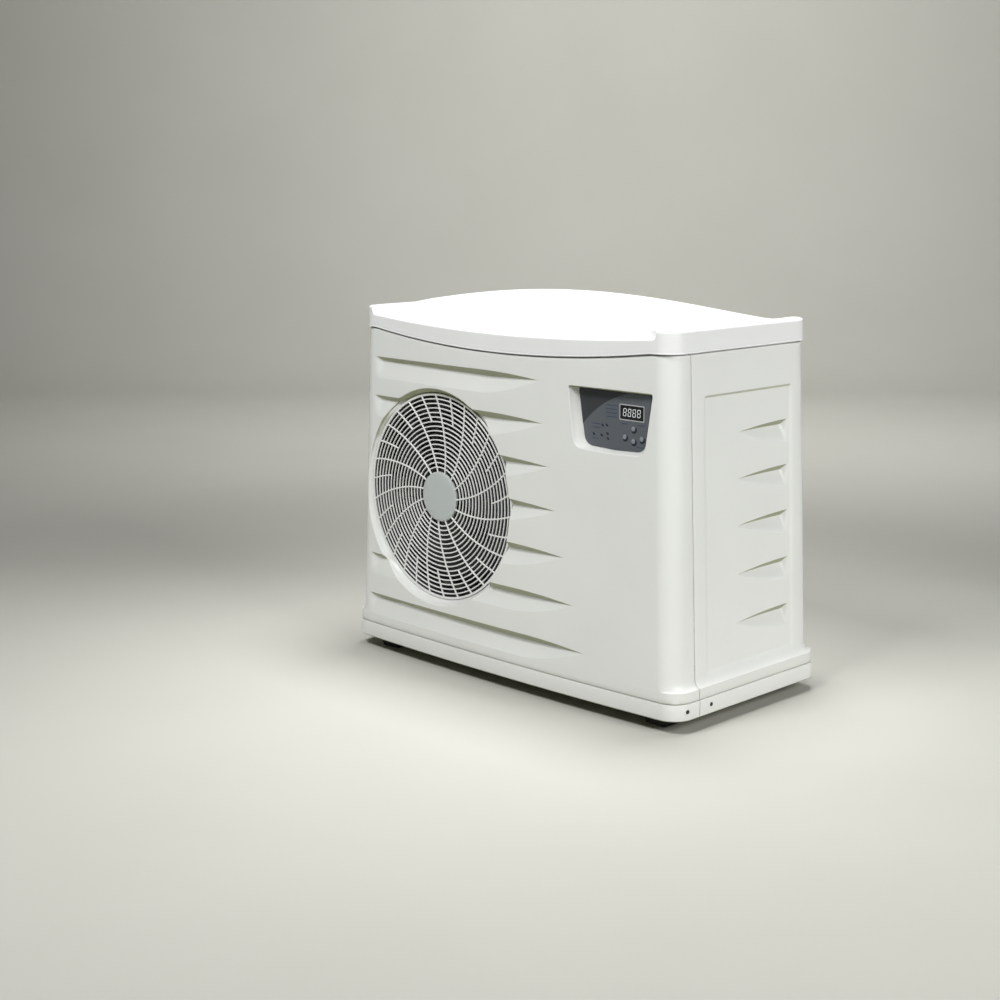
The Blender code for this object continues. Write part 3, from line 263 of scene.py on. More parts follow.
def painted_steel(name, colour, roughness, relief=0.12):
    """Enamel over steel, with orange peel and slight unevenness of gloss."""
    finish = Finish(name, colour, roughness)
    lighter = tuple(min(channel * 1.5 + 0.01, 1.0) for channel in colour)
    finish.tint(finish.noise(30.0, 4.0), lighter)
    finish.vary_roughness(finish.noise(18.0), 0.06)
    finish.bump(finish.noise(420.0, 2.0), relief, 0.0004)
    finish.shader.inputs["Coat Weight"].default_value = 0.25
    return finish.material


def zinc(name):
    """Galvanised sheet with its crystal spangle."""
    finish = Finish(name, (0.60, 0.62, 0.64), 0.40, 0.9)
    cells = finish.nodes.new("ShaderNodeTexVoronoi")
    cells.inputs["Scale"].default_value = 55.0
    finish.links.new(finish.place, cells.inputs["Vector"])
    grey = finish.nodes.new("ShaderNodeSeparateColor")
    finish.links.new(cells.outputs["Color"], grey.inputs["Color"])
    finish.tint(grey.outputs["Red"], (0.46, 0.48, 0.51), 0.8)
    finish.vary_roughness(grey.outputs["Green"], 0.09)
    finish.bump(finish.noise(300.0), 0.06, 0.0003)
    return finish.material


def drawn_metal(name, colour, dark, roughness, stretch):
    """Drawn or cast metal: tarnish in patches over fine streaks."""
    finish = Finish(name, colour, roughness, 1.0)
    finish.tint(finish.noise(16.0, 6.0), dark, 0.8)
    finish.vary_roughness(finish.noise(40.0, 4.0, stretch), 0.10)
    finish.bump(finish.noise(260.0, 2.0, stretch), 0.10, 0.0003)
    return finish.material


def circuit_board(name):
    """Green solder mask over a faint pattern of tracks."""
    finish = Finish(name, (0.025, 0.15, 0.06), 0.35)
    finish.tint(finish.noise(90.0, 0.0, (1.0, 6.0, 1.0)), (0.05, 0.24, 0.10), 1.6)
    finish.vary_roughness(finish.noise(200.0), 0.08)
    finish.bump(finish.noise(140.0, 0.0, (1.0, 6.0, 1.0)), 0.25, 0.0003)
    return finish.material


def printed(name, colour, roughness=0.45):
    """Ink or film on the controller's face, with a fine tooth."""
    finish = Finish(name, colour, roughness)
    finish.tint(finish.noise(500.0, 2.0), tuple(c * 0.85 for c in colour))
    finish.vary_roughness(finish.noise(120.0), 0.05)
    finish.bump(finish.noise(2600.0, 1.0), 0.15, 0.0001)
    return finish.material


def lit_digit(name):
    """The display's lit segments."""
    finish = Finish(name, (0.80, 0.82, 0.80), 0.4)
    finish.tint(finish.noise(400.0), (0.62, 0.66, 0.66))
    finish.shader.inputs["Emission Color"].default_value = (0.85, 0.90, 0.88, 1.0)
    finish.shader.inputs["Emission Strength"].default_value = 0.25
    return finish.material


# The casing's down-facing faces get painted shade: an olive colour that stands for their shadow and a
# painted reflection of green ground.
CASING = moulded_plastic(
    "casing_abs_looks", (0.800, 0.812, 0.785), 0.36, underside_shade=(0.300, 0.315, 0.195)
)
LID = moulded_plastic("lid_abs_looks", (0.850, 0.862, 0.856), 0.34)
GRILLE = moulded_plastic("grille_abs_looks", (0.830, 0.840, 0.820), 0.38)
# The hub cap is the grille's plastic painted darker: painted shade where the cap lies in shadow.
SHADED_HUB = moulded_plastic("hub_cap_painted_shade_looks", (0.520, 0.560, 0.545), 0.42)
DARK_ABS = moulded_plastic("black_plastic_looks", (0.022, 0.022, 0.023), 0.50, 1.4, 1200.0, 0.2)
FAN_ABS = moulded_plastic("fan_plastic_looks", (0.020, 0.021, 0.024), 0.42, 1.5)
PVC = moulded_plastic("grey_pvc_looks", (0.205, 0.222, 0.240), 0.38, 0.85)
RUBBER = rubber("foot_rubber_looks", (0.018, 0.018, 0.018))
MOTOR = painted_steel("motor_paint_looks", (0.045, 0.045, 0.050), 0.42)
COMPRESSOR = painted_steel("compressor_paint_looks", (0.016, 0.016, 0.018), 0.30)
ZINC = zinc("galvanised_steel_looks")
ALUMINIUM = drawn_metal(
    "coil_aluminium_looks", (0.62, 0.64, 0.66), (0.45, 0.47, 0.50), 0.42, (1.0, 1.0, 12.0)
)
COPPER = drawn_metal("copper_looks", (0.74, 0.37, 0.20), (0.38, 0.17, 0.09), 0.30, (1.0, 1.0, 8.0))
BRASS = drawn_metal("brass_looks", (0.72, 0.54, 0.24), (0.45, 0.31, 0.12), 0.34, (1.0, 1.0, 1.0))
SCREW = drawn_metal("screw_steel_looks", (0.09, 0.09, 0.10), (0.03, 0.03, 0.03), 0.38, (1, 1, 1))
BOARD = circuit_board("board_green_looks")
FACE = printed("panel_grey_looks", (0.108, 0.122, 0.138))
FACE_DARK = printed("panel_dark_looks", (0.036, 0.040, 0.046))
# Dark ink for the indicator marks, also used for the painted shadow crescents at the buttons.
DARK_INK_AND_PAINTED_SHADOW = printed("panel_ink_and_painted_shadow_looks", (0.008, 0.012, 0.026))
INK_BLUE = printed("panel_label_looks", (0.045, 0.062, 0.110))
FRAME_GREY = printed("display_frame_looks", (0.52, 0.54, 0.55))
BUTTON = printed("button_grey_looks", (0.260, 0.290, 0.335), 0.38)
CAPACITOR = painted_steel("capacitor_looks", (0.45, 0.46, 0.48), 0.35)
GLASS_BLACK = moulded_plastic("display_black_looks", (0.006, 0.006, 0.008), 0.12, 1.6, 200, 0.02, 0.6)
DIGIT = lit_digit("display_digit_looks")

CAD_FINISHES = {
    "casing_abs": CASING,
    "lid_abs": LID,
    "grille_abs": GRILLE,
    "foot_rubber": RUBBER,
    "fan_plastic": FAN_ABS,
    "motor_paint": MOTOR,
    "galvanised_steel": ZINC,
    "coil_aluminium": ALUMINIUM,
    "black_plastic": DARK_ABS,
    "compressor_paint": COMPRESSOR,
    "grey_pvc": PVC,
    "brass": BRASS,
    "copper": COPPER,
    "board_green": BOARD,
    "button_grey": BUTTON,
    "panel_grey": FACE,
    "display_black": GLASS_BLACK,
    "screw_steel": SCREW,
}


def dress_frame():
    """Gives every CAD node that stays in view its finish."""
    slots = {entry["node"]: entry["material_slot"] for entry in frame["record"]["subparts"]}
    for name, node in frame["nodes"].items():
        node.data.materials.clear()
        node.data.materials.append(CAD_FINISHES[slots[name]])
    frame["nodes"]["run_capacitor"].data.materials[0] = CAPACITOR
    frame["nodes"]["fan_orifice"].data.materials[0] = DARK_ABS


# ---------------------------------------------------------------- mesh helpers


def smooth_step(value):
    """Eases from 0 to 1."""
    value = min(max(value, 0.0), 1.0)
    return value * value * (3 - 2 * value)


def soft_min(a, b, width):
    """The smaller of two values, rounded over where they meet."""
    blend = max(width - abs(a - b), 0.0) / width
    return min(a, b) - blend * blend * width / 4


def soft_max(a, b, width):
    """The larger of two values, rounded over where they meet."""
    return -soft_min(-a, -b, width)


def piece(name, mesh, material, body, replaces=()):
    """Adds a finished mesh to the scene, riding on a body."""
    made = bpy.data.objects.new(name, mesh)
    bpy.context.scene.collection.objects.link(made)
    made.location = CORNER
    mesh.materials.append(material)
    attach(made, body)
    if replaces:
        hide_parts(*replaces)
    return made


def to_mesh(name, bm, angle=40.0, outward=True):
    """Turns a bmesh into a smooth-shaded mesh with sharp edges past an angle."""
    if outward:
        bmesh.ops.recalc_face_normals(bm, faces=bm.faces)
    mesh = bpy.data.meshes.new(name)
    bm.to_mesh(mesh)
    bm.free()
    mesh.shade_smooth()
    mesh.set_sharp_from_angle(angle=math.radians(angle))
    return mesh


def part(name, bm, material, replaces=(), body="cabinet", angle=40.0):
    """Adds what a bmesh holds as a smooth-shaded piece, riding on the cabinet unless told otherwise."""
    piece(name, to_mesh(name, bm, angle), material, body, replaces)


def bridge(bm, loops, closed=True):
    """Joins rows of points into a skin. Returns the rows of vertices."""
    rows = [[bm.verts.new(point) for point in loop] for loop in loops]
    count = len(rows[0])
    for lower, upper in zip(rows, rows[1:]):
        for i in range(count if closed else count - 1):
            j = (i + 1) % count
            bm.faces.new((lower[i], lower[j], upper[j], upper[i]))
    return rows


def capped(bm, loops):
    """Adds a closed body between loops, with a flat face at each end."""
    rows = bridge(bm, loops)
    bm.faces.new(list(reversed(rows[0])))
    bm.faces.new(rows[-1])


def ring_mesh(name, loops, angle=40.0):
    """A mesh of loops bridged in turn, the last one back onto the first."""
    bm = bmesh.new()
    rows = bridge(bm, loops + loops[:1])
    bmesh.ops.remove_doubles(bm, verts=rows[0] + rows[-1], dist=1e-7)
    return to_mesh(name, bm, angle)


def turn(bm, profile, centre, steps, around=None, axis="Y"):
    """Adds a turned closed shape: the profile is (radius, along) points, closed on itself if it never
    reaches the axis. around may change the radius with the angle."""
    centre = Vector(centre)

    def place(a, b, along):
        return centre + Vector((a, along, b) if axis == "Y" else (a, b, along))

    rings = []
    for radius, along in profile:
        ring = []
        for i in range(steps):
            angle = math.tau * i / steps
            r = radius if around is None else around(radius, along, angle)
            ring.append(place(r * math.cos(angle), r * math.sin(angle), along))
        rings.append(ring)
    if profile[0][0] < 1e-6:
        rows = bridge(bm, rings[1:-1])
        for row, (_, along) in ((rows[0], profile[0]), (rows[-1], profile[-1])):
            tip = bm.verts.new(place(0, 0, along))
            for i in range(steps):
                bm.faces.new((row[i], row[(i + 1) % steps], tip))
    else:
        rows = bridge(bm, rings)
        for i in range(steps):
            j = (i + 1) % steps
            bm.faces.new((rows[-1][i], rows[-1][j], rows[0][j], rows[0][i]))


def bar(bm, path, half_width, half_height, up):
    """Adds a bar with rounded corners along a path. up is the section's height direction."""
    up = Vector(up).normalized()
    path = [Vector(point) for point in path]
    loops = []
    count = len(path)
    chamfer = 0.45 * min(half_width, half_height)
    section = []
    for across, over in ((1, 1), (-1, 1), (-1, -1), (1, -1)):
        inner = (half_width - chamfer) * across, half_height * over
        outer = half_width * across, (half_height - chamfer) * over
        section += [outer, inner] if across * over > 0 else [inner, outer]
    for index, point in enumerate(path):
        before = path[index - 1] if index else point
        after = path[index + 1] if index < count - 1 else point
        side = (after - before).normalized().cross(up).normalized()
        loops.append([point + side * a + up * b for a, b in section])
    capped(bm, loops)


def block(bm, low, high):
    """Adds a box between two corners."""
    low, high = Vector(low), Vector(high)
    made = bmesh.ops.create_cube(bm, size=1.0)["verts"]
    bmesh.ops.scale(bm, vec=high - low, verts=made)
    bmesh.ops.translate(bm, vec=(low + high) / 2, verts=made)


def box_corners(left, right, low, high, grow=0.0):
    """A rectangle's corners, anticlockwise from the lower left, grown by a margin."""
    left, right, low, high = left - grow, right + grow, low - grow, high + grow
    return [(left, low), (right, low), (right, high), (left, high)]


def circle(radius, steps):
    """Points round a circle at the origin, as (across, up)."""
    angles = [math.tau * i / steps for i in range(steps)]
    return [(radius * math.cos(angle), radius * math.sin(angle)) for angle in angles]


def rounded_outline(corners, radii, steps=6):
    """A closed outline with an arc at each corner, as (across, up) points."""
    points = []
    count = len(corners)
    for i, corner in enumerate(corners):
        corner = Vector(corner)
        back = (Vector(corners[i - 1]) - corner).normalized()
        on = (Vector(corners[(i + 1) % count]) - corner).normalized()
        half = back.angle(on) / 2
        radius = radii[i]
        centre = corner + (back + on).normalized() * (radius / math.sin(half))
        start = corner + back * (radius / math.tan(half)) - centre
        end = corner + on * (radius / math.tan(half)) - centre
        sweep = start.angle_signed(end)
        for step in range(steps + 1):
            arm = start.copy()
            arm.rotate(Matrix.Rotation(-sweep * step / steps, 2))
            points.append(centre + arm)
    return points


# ---------------------------------------------------------------- casing's outside shape


def bulge(x):
    """How far the front stands forward of a straight line at x."""
    half = WIDTH / 2
    return FRONT_BULGE * (1 - ((x - half) / half) ** 2)


def wall_inset(z, flare, draft):
    """How far the casing's wall stands inside the base's outline at height z."""
    if z >= FILLET_TOP:
        return flare + draft * (z - FILLET_TOP) / (CASING_TOP - FILLET_TOP)
    if z > FLANGE_TOP:
        fall = (FILLET_TOP - z) / (FILLET_TOP - FLANGE_TOP)
        return flare - (flare - BAND_PROFILE[-1][1]) * (1 - math.sqrt(1 - fall * fall))
    for (low, low_inset), (high, high_inset) in zip(BAND_PROFILE, BAND_PROFILE[1:]):
        if z <= high:
            return low_inset + (high_inset - low_inset) * (z - low) / (high - low)
    return BAND_PROFILE[-1][1]


def side_inset(z):
    """How far the sides stand in at height z."""
    return wall_inset(z, SIDE_FLARE, SIDE_DRAFT)


def front_inset(z):
    """How far the front stands in at height z, its bulge apart."""
    return wall_inset(z, FRONT_FLARE, FRONT_DRAFT)


def rear_inset(z):
    """How far the rear stands in at height z."""
    return wall_inset(z, REAR_FLARE, REAR_DRAFT)


def fillet_heights():
    """Grid heights up the hollow fillet, closest together where it is steepest."""
    return [
        FLANGE_TOP + (FILLET_TOP - FLANGE_TOP) * (1 - math.cos(math.pi / 2 * i / 9)) for i in range(1, 10)
    ]


def dish_section(drop, depth, tall):
    """How deep a dish is at a drop below its crease: a steep ledge, a valley and a slope out."""
    valley = LEDGE * depth / DISH_DEPTH
    foot = DISH_HEIGHT * tall
    ledge = depth * drop / valley
    slope = depth * (foot - drop) / (foot - valley)
    section = soft_min(ledge, slope, 0.14 * depth)
    return max(soft_max(section, 0.0, 0.07 * depth) - 0.0175 * depth, 0.0)


def louvre_ends(level):
    """Where the louvre at this level, 0 for the lowest, starts and ends across the front."""
    share = level / (LOUVRES - 1)
    return START_LOW + START_SHIFT * share, TIP_HIGH + TIP_REACH * (1 - share) ** TIP_CURVE


def louvre(x, level):
    """A louvre's crease height, its depth and its share of full height, at x."""
    start, tip = louvre_ends(level)
    past = min(max((x - tip) / LOUVRE_TAPER + 1, 0.0), 1.0)
    leaf = 1 - past**LEAF_CURVE
    swell = LOUVRE_START + (1 - LOUVRE_START) * min(max((x - start) / LOUVRE_SWELL, 0.0), 1.0)
    depth = DISH_DEPTH * smooth_step((x - start) / LOUVRE_END) * swell * leaf
    relax = smooth_step((x - tip) / (WIDTH - 0.09 - tip))
    crease = CREASES[level] - CREASE_DROP * past**2 * (1 - relax)
    return crease, depth, max(leaf, 0.07 + 0.93 * relax)


def front_face(x, z):
    """Depth y of the front's outside at (x, z), dishes included."""
    tangent = side_inset(z) + CORNER_RADIUS
    if x < tangent:
        fall = CORNER_RADIUS - math.sqrt(CORNER_RADIUS**2 - (tangent - x) ** 2)
        return front_inset(z) - bulge(tangent) + fall
    dish = 0.0
    for level in range(LOUVRES):
        crease, depth, tall = louvre(x, level)
        if depth > 1e-6 and -0.01 < crease - z < DISH_HEIGHT * tall + 0.01:
            dish = max(dish, dish_section(crease - z, depth, tall))
    return front_inset(z) - bulge(x) + dish


# Drops of the grid rows that follow each crease, from above it down to the wall below the dish
ROW_DROPS = [-0.0040, -0.0012, -0.0003, 0.0006, 0.0016, 0.0045, 0.0085, 0.0115, 0.0132]
ROW_DROPS += [0.0145, 0.0157, 0.0170, 0.0190, 0.0225, 0.0280, 0.0340, 0.0400, 0.0450]
ROW_DROPS += [0.0470, 0.0485, 0.0495, 0.0502, 0.0507, 0.0515, 0.0530]

# The step under the lid's edge: (height above that edge, how far in)
LID_GROOVE = (
    (-0.0100, 0.0), (-0.0042, 0.0), (-0.0036, 0.0003),
    (-0.0034, 0.0010), (-0.0033, 0.0060), (0.0020, 0.0060),
)


def groove_inset(row):
    """How far the step under the lid takes a grid row in."""
    value, level = row
    return dict(LID_GROOVE)[value] if level == "lid" else 0.0


def casing_rows():
    """The front's grid rows: (height, None) or (drop, louvre), from the ground up."""
    rows = [(z, None) for z, _ in BAND_PROFILE[:-1]] + [(0.048, None), (0.0535, None)]
    for level in range(LOUVRES):
        if level:
            rows.append(("between", level))
        rows += [(drop, level) for drop in reversed(ROW_DROPS)]
    rows += [(0.690, None), (0.705, None)]
    return rows + [(rise, "lid") for rise, _ in LID_GROOVE]


def row_height(row, x):
    """Height of a grid row at x."""
    value, level = row
    if level is None:
        return value
    if level == "lid":
        return lid_edge(x, True, True) + value
    crease, _, tall = louvre(x, level)
    if value == "between":
        below, _, _ = louvre(x, level - 1)
        return (below - ROW_DROPS[0] + crease - ROW_DROPS[-1] * tall) / 2
    return crease - (value * tall if value > 0 else value)


def front_corner(z, side, share, step):
    """A point on a front corner's arc. side is -1 for the left, and share runs away from the front."""
    inset = side_inset(z)
    tangent = inset + CORNER_RADIUS
    angle = -math.pi / 2 + side * share * math.pi / 2
    centre_x = tangent if side < 0 else WIDTH - tangent
    centre_y = front_inset(z) - bulge(tangent) + CORNER_RADIUS
    radius = CORNER_RADIUS - step
    return (centre_x + radius * math.cos(angle), centre_y + radius * math.sin(angle), z)


FRONT_COLUMNS = 190
CORNER_STEPS = 14
# Distances from a seam and how far its rounded lip falls away there
SEAM_LIP = ((0.0016, 0.0), (0.0007, 0.00025), (0.0002, 0.0008), (0.0, 0.0014))


def casing_front():
    """The front moulding: dished louvres, rounded mouth and rounded control recess."""
    rows = casing_rows()
    left = [("side", y) for y in (SEAM_Y - d for d, _ in reversed(SEAM_LIP))]
    arc = [("arc", step / CORNER_STEPS) for step in range(CORNER_STEPS, 0, -1)]
    stretch = [(-1, *column) for column in left + arc]
    stretch += [(0, "front", column / FRONT_COLUMNS) for column in range(FRONT_COLUMNS + 1)]
    stretch += [(1, *column) for column in reversed(left + arc)]
    lips = {SEAM_Y - away: fall for away, fall in SEAM_LIP}

    def point(side, kind, value, row):
        nominal = row_height(row, 0.0)
        step = groove_inset(row)
        if kind == "front":
            tangent = side_inset(nominal) + CORNER_RADIUS
            x = tangent + (WIDTH - 2 * tangent) * value
            z = row_height(row, x)
            return (x, front_face(x, z) + step, z)
        if kind == "arc":
            return front_corner(nominal, side, value, step)
        inset = side_inset(nominal) + lips[value] + step
        return (inset if side < 0 else WIDTH - inset, value, nominal)

    bm = bmesh.new()
    bridge(bm, [[point(*column, row) for column in stretch] for row in rows], closed=False)
    casing = to_mesh("front_casing_skin", bm, 50.0, outward=False)
    skin = piece("front_casing_skin", casing, CASING, "cabinet", ["front_casing"])
    thicken(skin, SKIN_WALL)
    cut(skin, mouth_cutter())
    cut(skin, pocket_cutter())
    apply_modifiers(skin)


def thicken(target, thickness):
    """Gives a sheet its wall, inwards from its outside."""
    wall = target.modifiers.new("wall", "SOLIDIFY")
    wall.thickness = thickness
    wall.offset = -1


def cut(target, cutter):
    """Takes a cutter's shape out of a piece."""
    step = target.modifiers.new("cut", "BOOLEAN")
    step.object = cutter
    step.solver = "EXACT"
    step.use_self = True


def apply_modifiers(target):
    """Fixes a piece's modifiers into its mesh and drops the cutters."""
    cutters = [m.object for m in target.modifiers if m.type == "BOOLEAN"]
    evaluated = target.evaluated_get(bpy.context.evaluated_depsgraph_get())
    mesh = bpy.data.meshes.new_from_object(evaluated)
    mesh.set_sharp_from_angle(angle=math.radians(40))
    target.modifiers.clear()
    target.data = mesh
    for cutter in cutters:
        bpy.data.objects.remove(cutter, do_unlink=True)


def cutter_object(name, loops):
    """A closed prism between loops, used to cut and then removed."""
    bm = bmesh.new()
    capped(bm, loops)
    made = bpy.data.objects.new(name, to_mesh(name, bm))
    bpy.context.scene.collection.objects.link(made)
    made.location = CORNER
    made.hide_render = True
    return made


MOUTH_STEPS = 192
# Depths between which the cutters reach through the front
THROUGH_FRONT = (-0.05, 0.05)
# How far the lips start behind the casing's outside, inside its wall
LIP_BURIED = 0.0022


def mouth_loop(radius, depth_at):
    """Points round the fan's axis at a radius, each at the depth that depth_at gives."""
    loop = []
    for i in range(MOUTH_STEPS):
        angle = math.tau * i / MOUTH_STEPS
        x, z = FAN_X + radius * math.cos(angle), FAN_Z + radius * math.sin(angle)
        loop.append((x, depth_at(x, z), z))
    return loop


def mouth_cutter():
    """The round hole for the fan's mouth."""
    loops = [mouth_loop(MOUTH_CUT, lambda x, z, y=y: y) for y in THROUGH_FRONT]
    return cutter_object("mouth_cutter", loops)


def rounding(radius, steps, first=0):
    """A rounded edge: (how far outside its narrowest, how far it has fallen back) points."""
    angles = [math.pi / 2 * step / steps for step in range(first, steps + 1)]
    return [(radius * (1 - math.sin(angle)), radius * (1 - math.cos(angle))) for angle in angles]


def casing_mouth():
    """The mouth's rounded lip and the cone that leads back to the grille."""
    loops = [mouth_loop(MOUTH_CUT, lambda x, z: front_face(x, z) + LIP_BURIED)]
    loops.append(mouth_loop(MOUTH_CUT, front_face))
    start = MOUTH_CUT - 0.0006 - MOUTH_ROUNDING
    for grow, fall in rounding(MOUTH_ROUNDING, 8):
        loops.append(mouth_loop(start + grow, lambda x, z, fall=fall: front_face(x, z) + fall))
    for share in (0.35, 0.7, 1.0):
        radius = start + (MOUTH_BACK_RADIUS - start) * share
        loops.append(mouth_loop(radius, funnel(MOUTH_ROUNDING, MOUTH_BACK_Y, share)))
    for radius in (MOUTH_BACK_RADIUS, MOUTH_BACK_RADIUS + 0.0025):
        loops.append(mouth_loop(radius, lambda x, z: MOUTH_BACK_Y + 0.003))
    mesh = ring_mesh("fan_mouth_lip", loops, 60.0)
    piece("fan_mouth_lip", mesh, CASING, "cabinet")


def funnel(lip, back, share):
    """The depth of a recess's wall, a share of the way from behind its lip to its back."""
    return lambda x, z: (front_face(x, z) + lip) * (1 - share) + back * share


def pocket_outline(share, grow=0.0):
    """The control recess's outline at a share of its depth, as (x, z), with rounded corners."""
    top = PANEL_TOP - POCKET_LEVEL_DRAFT * share + grow
    bottom = PANEL_BOTTOM + POCKET_LEVEL_DRAFT * share - grow
    wide = PANEL_TOP_HALF - POCKET_SIDE_DRAFT * share + grow
    narrow = PANEL_BOTTOM_HALF - POCKET_SIDE_DRAFT * share + grow
    corners = [(-narrow, bottom), (0.0, bottom - 0.0035), (narrow, bottom), (wide, top), (-wide, top)]
    radii = [0.024 + grow, 0.160, 0.024 + grow, 0.004 + grow, 0.004 + grow]
    return [(PANEL_X + across, up) for across, up in rounded_outline(corners, radii)]


def pocket_loop(share, grow, depth_at):
    """The recess's outline, each point at the depth that depth_at gives."""
    return [(x, depth_at(x, z), z) for x, z in pocket_outline(share, grow)]


def pocket_cutter():
    """The hole for the control recess."""
    loops = [pocket_loop(0.0, POCKET_ROUNDING, lambda x, z, y=y: y) for y in THROUGH_FRONT]
    return cutter_object("pocket_cutter", loops)


def casing_pocket():
    """The recess's rounded lip and its tapering walls."""
    lip = POCKET_ROUNDING
    loops = [pocket_loop(0.0, lip, lambda x, z: front_face(x, z) + LIP_BURIED)]
    loops.append(pocket_loop(0.0, lip, front_face))
    for grow, fall in rounding(lip, 8, first=1):
        loops.append(pocket_loop(0.0, grow, lambda x, z, fall=fall: front_face(x, z) + fall))
    for share in (0.35, 0.7, 1.0):
        loops.append(pocket_loop(share, 0.0, funnel(lip, POCKET_BACK_Y, share)))
    loops.append(pocket_loop(1.0, 0.0022, lambda x, z: POCKET_BACK_Y))
    mesh = ring_mesh("control_recess", loops, 60.0)
    piece("control_recess", mesh, CASING, "cabinet")


# ---------------------------------------------------------------- side and rear panels

FIELD_FRONT, FIELD_BACK = 0.1125, 0.412
FIELD_LOW, FIELD_HIGH = 0.0765, 0.664
FIELD_DEPTH = 0.004
SCALLOP_TIPS = ((0.216, 0.168), (0.221, 0.272), (0.221, 0.376), (0.224, 0.476), (0.228, 0.575))
SCALLOP_DEPTH = 0.0125
SCALLOP_BACK = 0.400


def field_depth(y, z):
    """How far the side panel's field lies inside its rim at (y, z)."""
    edges = (y - FIELD_FRONT) / 0.007, (FIELD_BACK - y) / 0.007
    levels = (z - FIELD_LOW) / 0.012, (FIELD_HIGH - z) / 0.008
    return FIELD_DEPTH * smooth_step(min(edges)) * smooth_step(min(levels))


def scallop(y, level):
    """A side scallop's crease height, depth and share of full height, at y. It opens to the rear."""
    tip_y, tip_z = SCALLOP_TIPS[level]
    past = min(max(1 - (y - tip_y) / LOUVRE_TAPER, 0.0), 1.0)
    leaf = 1 - past**LEAF_CURVE
    depth = SCALLOP_DEPTH * leaf * smooth_step((SCALLOP_BACK - y) / 0.016)
    relax = smooth_step((tip_y - y) / 0.09)
    crease = tip_z + 0.012 - 0.012 * past**2 * (1 - relax)
    return crease, depth, max(leaf, 0.07 + 0.93 * relax)


def side_rows():
    """A side panel's grid rows: (height, None) or (drop, scallop), from the ground up."""
    rows = [(z, None) for z, _ in BAND_PROFILE] + [(z, None) for z in fillet_heights()]
    rows += [(z, None) for z in (0.081, 0.084, 0.087, 0.090, 0.100)]
    for level in range(len(SCALLOP_TIPS)):
        rows += [(drop, level) for drop in reversed(ROW_DROPS)]
        rows.append(("between", level))
    rows += [(z, None) for z in (0.640, 0.654, 0.656, 0.658, 0.660, 0.662, 0.664, 0.668, 0.700)]
    return rows + [(rise, "lid") for rise, _ in LID_GROOVE]


def side_row_height(row, y):
    """Height of a side panel's grid row at y."""
    value, level = row
    if level is None:
        return value
    if level == "lid":
        return LID_BOTTOM + value
    crease, _, tall = scallop(y, level)
    if value == "between":
        return crease + 0.022
    return crease - (value * tall if value > 0 else value)


def side_panel(name, right, node):
    """A side panel with its recessed field, its scallops and its rear corner."""
    rows = side_rows()
    seam = SEAM_Y + SEAM_GAP
    depths = [(seam + away, fall) for away, fall in reversed(SEAM_LIP)]
    start, end = 0.090, 0.428
    depths += [(start + (end - start) * i / 90, 0.0) for i in range(91)]
    bm = bmesh.new()
    loops = []
    for row in rows:
        loop = []
        for y, fall in depths:
            z = side_row_height(row, y)
            inset = side_inset(z) + fall + field_depth(y, z) + groove_inset(row)
            for level in range(len(SCALLOP_TIPS)):
                crease, depth, tall = scallop(y, level)
                if depth > 1e-6 and -0.01 < crease - z < DISH_HEIGHT * tall + 0.01:
                    inset += dish_section(crease - z, depth, tall)
            loop.append((WIDTH - inset, y, z))
        z = side_row_height(row, end)
        inset, edge = side_inset(z) + groove_inset(row), rear_inset(z) + groove_inset(row)
        corner_y = DEPTH - edge - CORNER_RADIUS
        for step in range(CORNER_STEPS + 1):
            angle = math.pi / 2 * step / CORNER_STEPS
            x = WIDTH - inset - CORNER_RADIUS * (1 - math.cos(angle))
            loop.append((x, corner_y + CORNER_RADIUS * math.sin(angle), z))
        for away, fall in SEAM_LIP:
            loop.append((WIDTH - REAR_SEAM_X + away, DEPTH - edge - fall, z))
        loops.append(loop if right else [(WIDTH - x, y, z) for x, y, z in reversed(loop)])
    bridge(bm, loops, closed=False)
    mesh = to_mesh(name, bm, 50.0, outward=False)
    skin = piece(name, mesh, CASING, "cabinet", [node])
    thicken(skin, SKIN_WALL)
    apply_modifiers(skin)


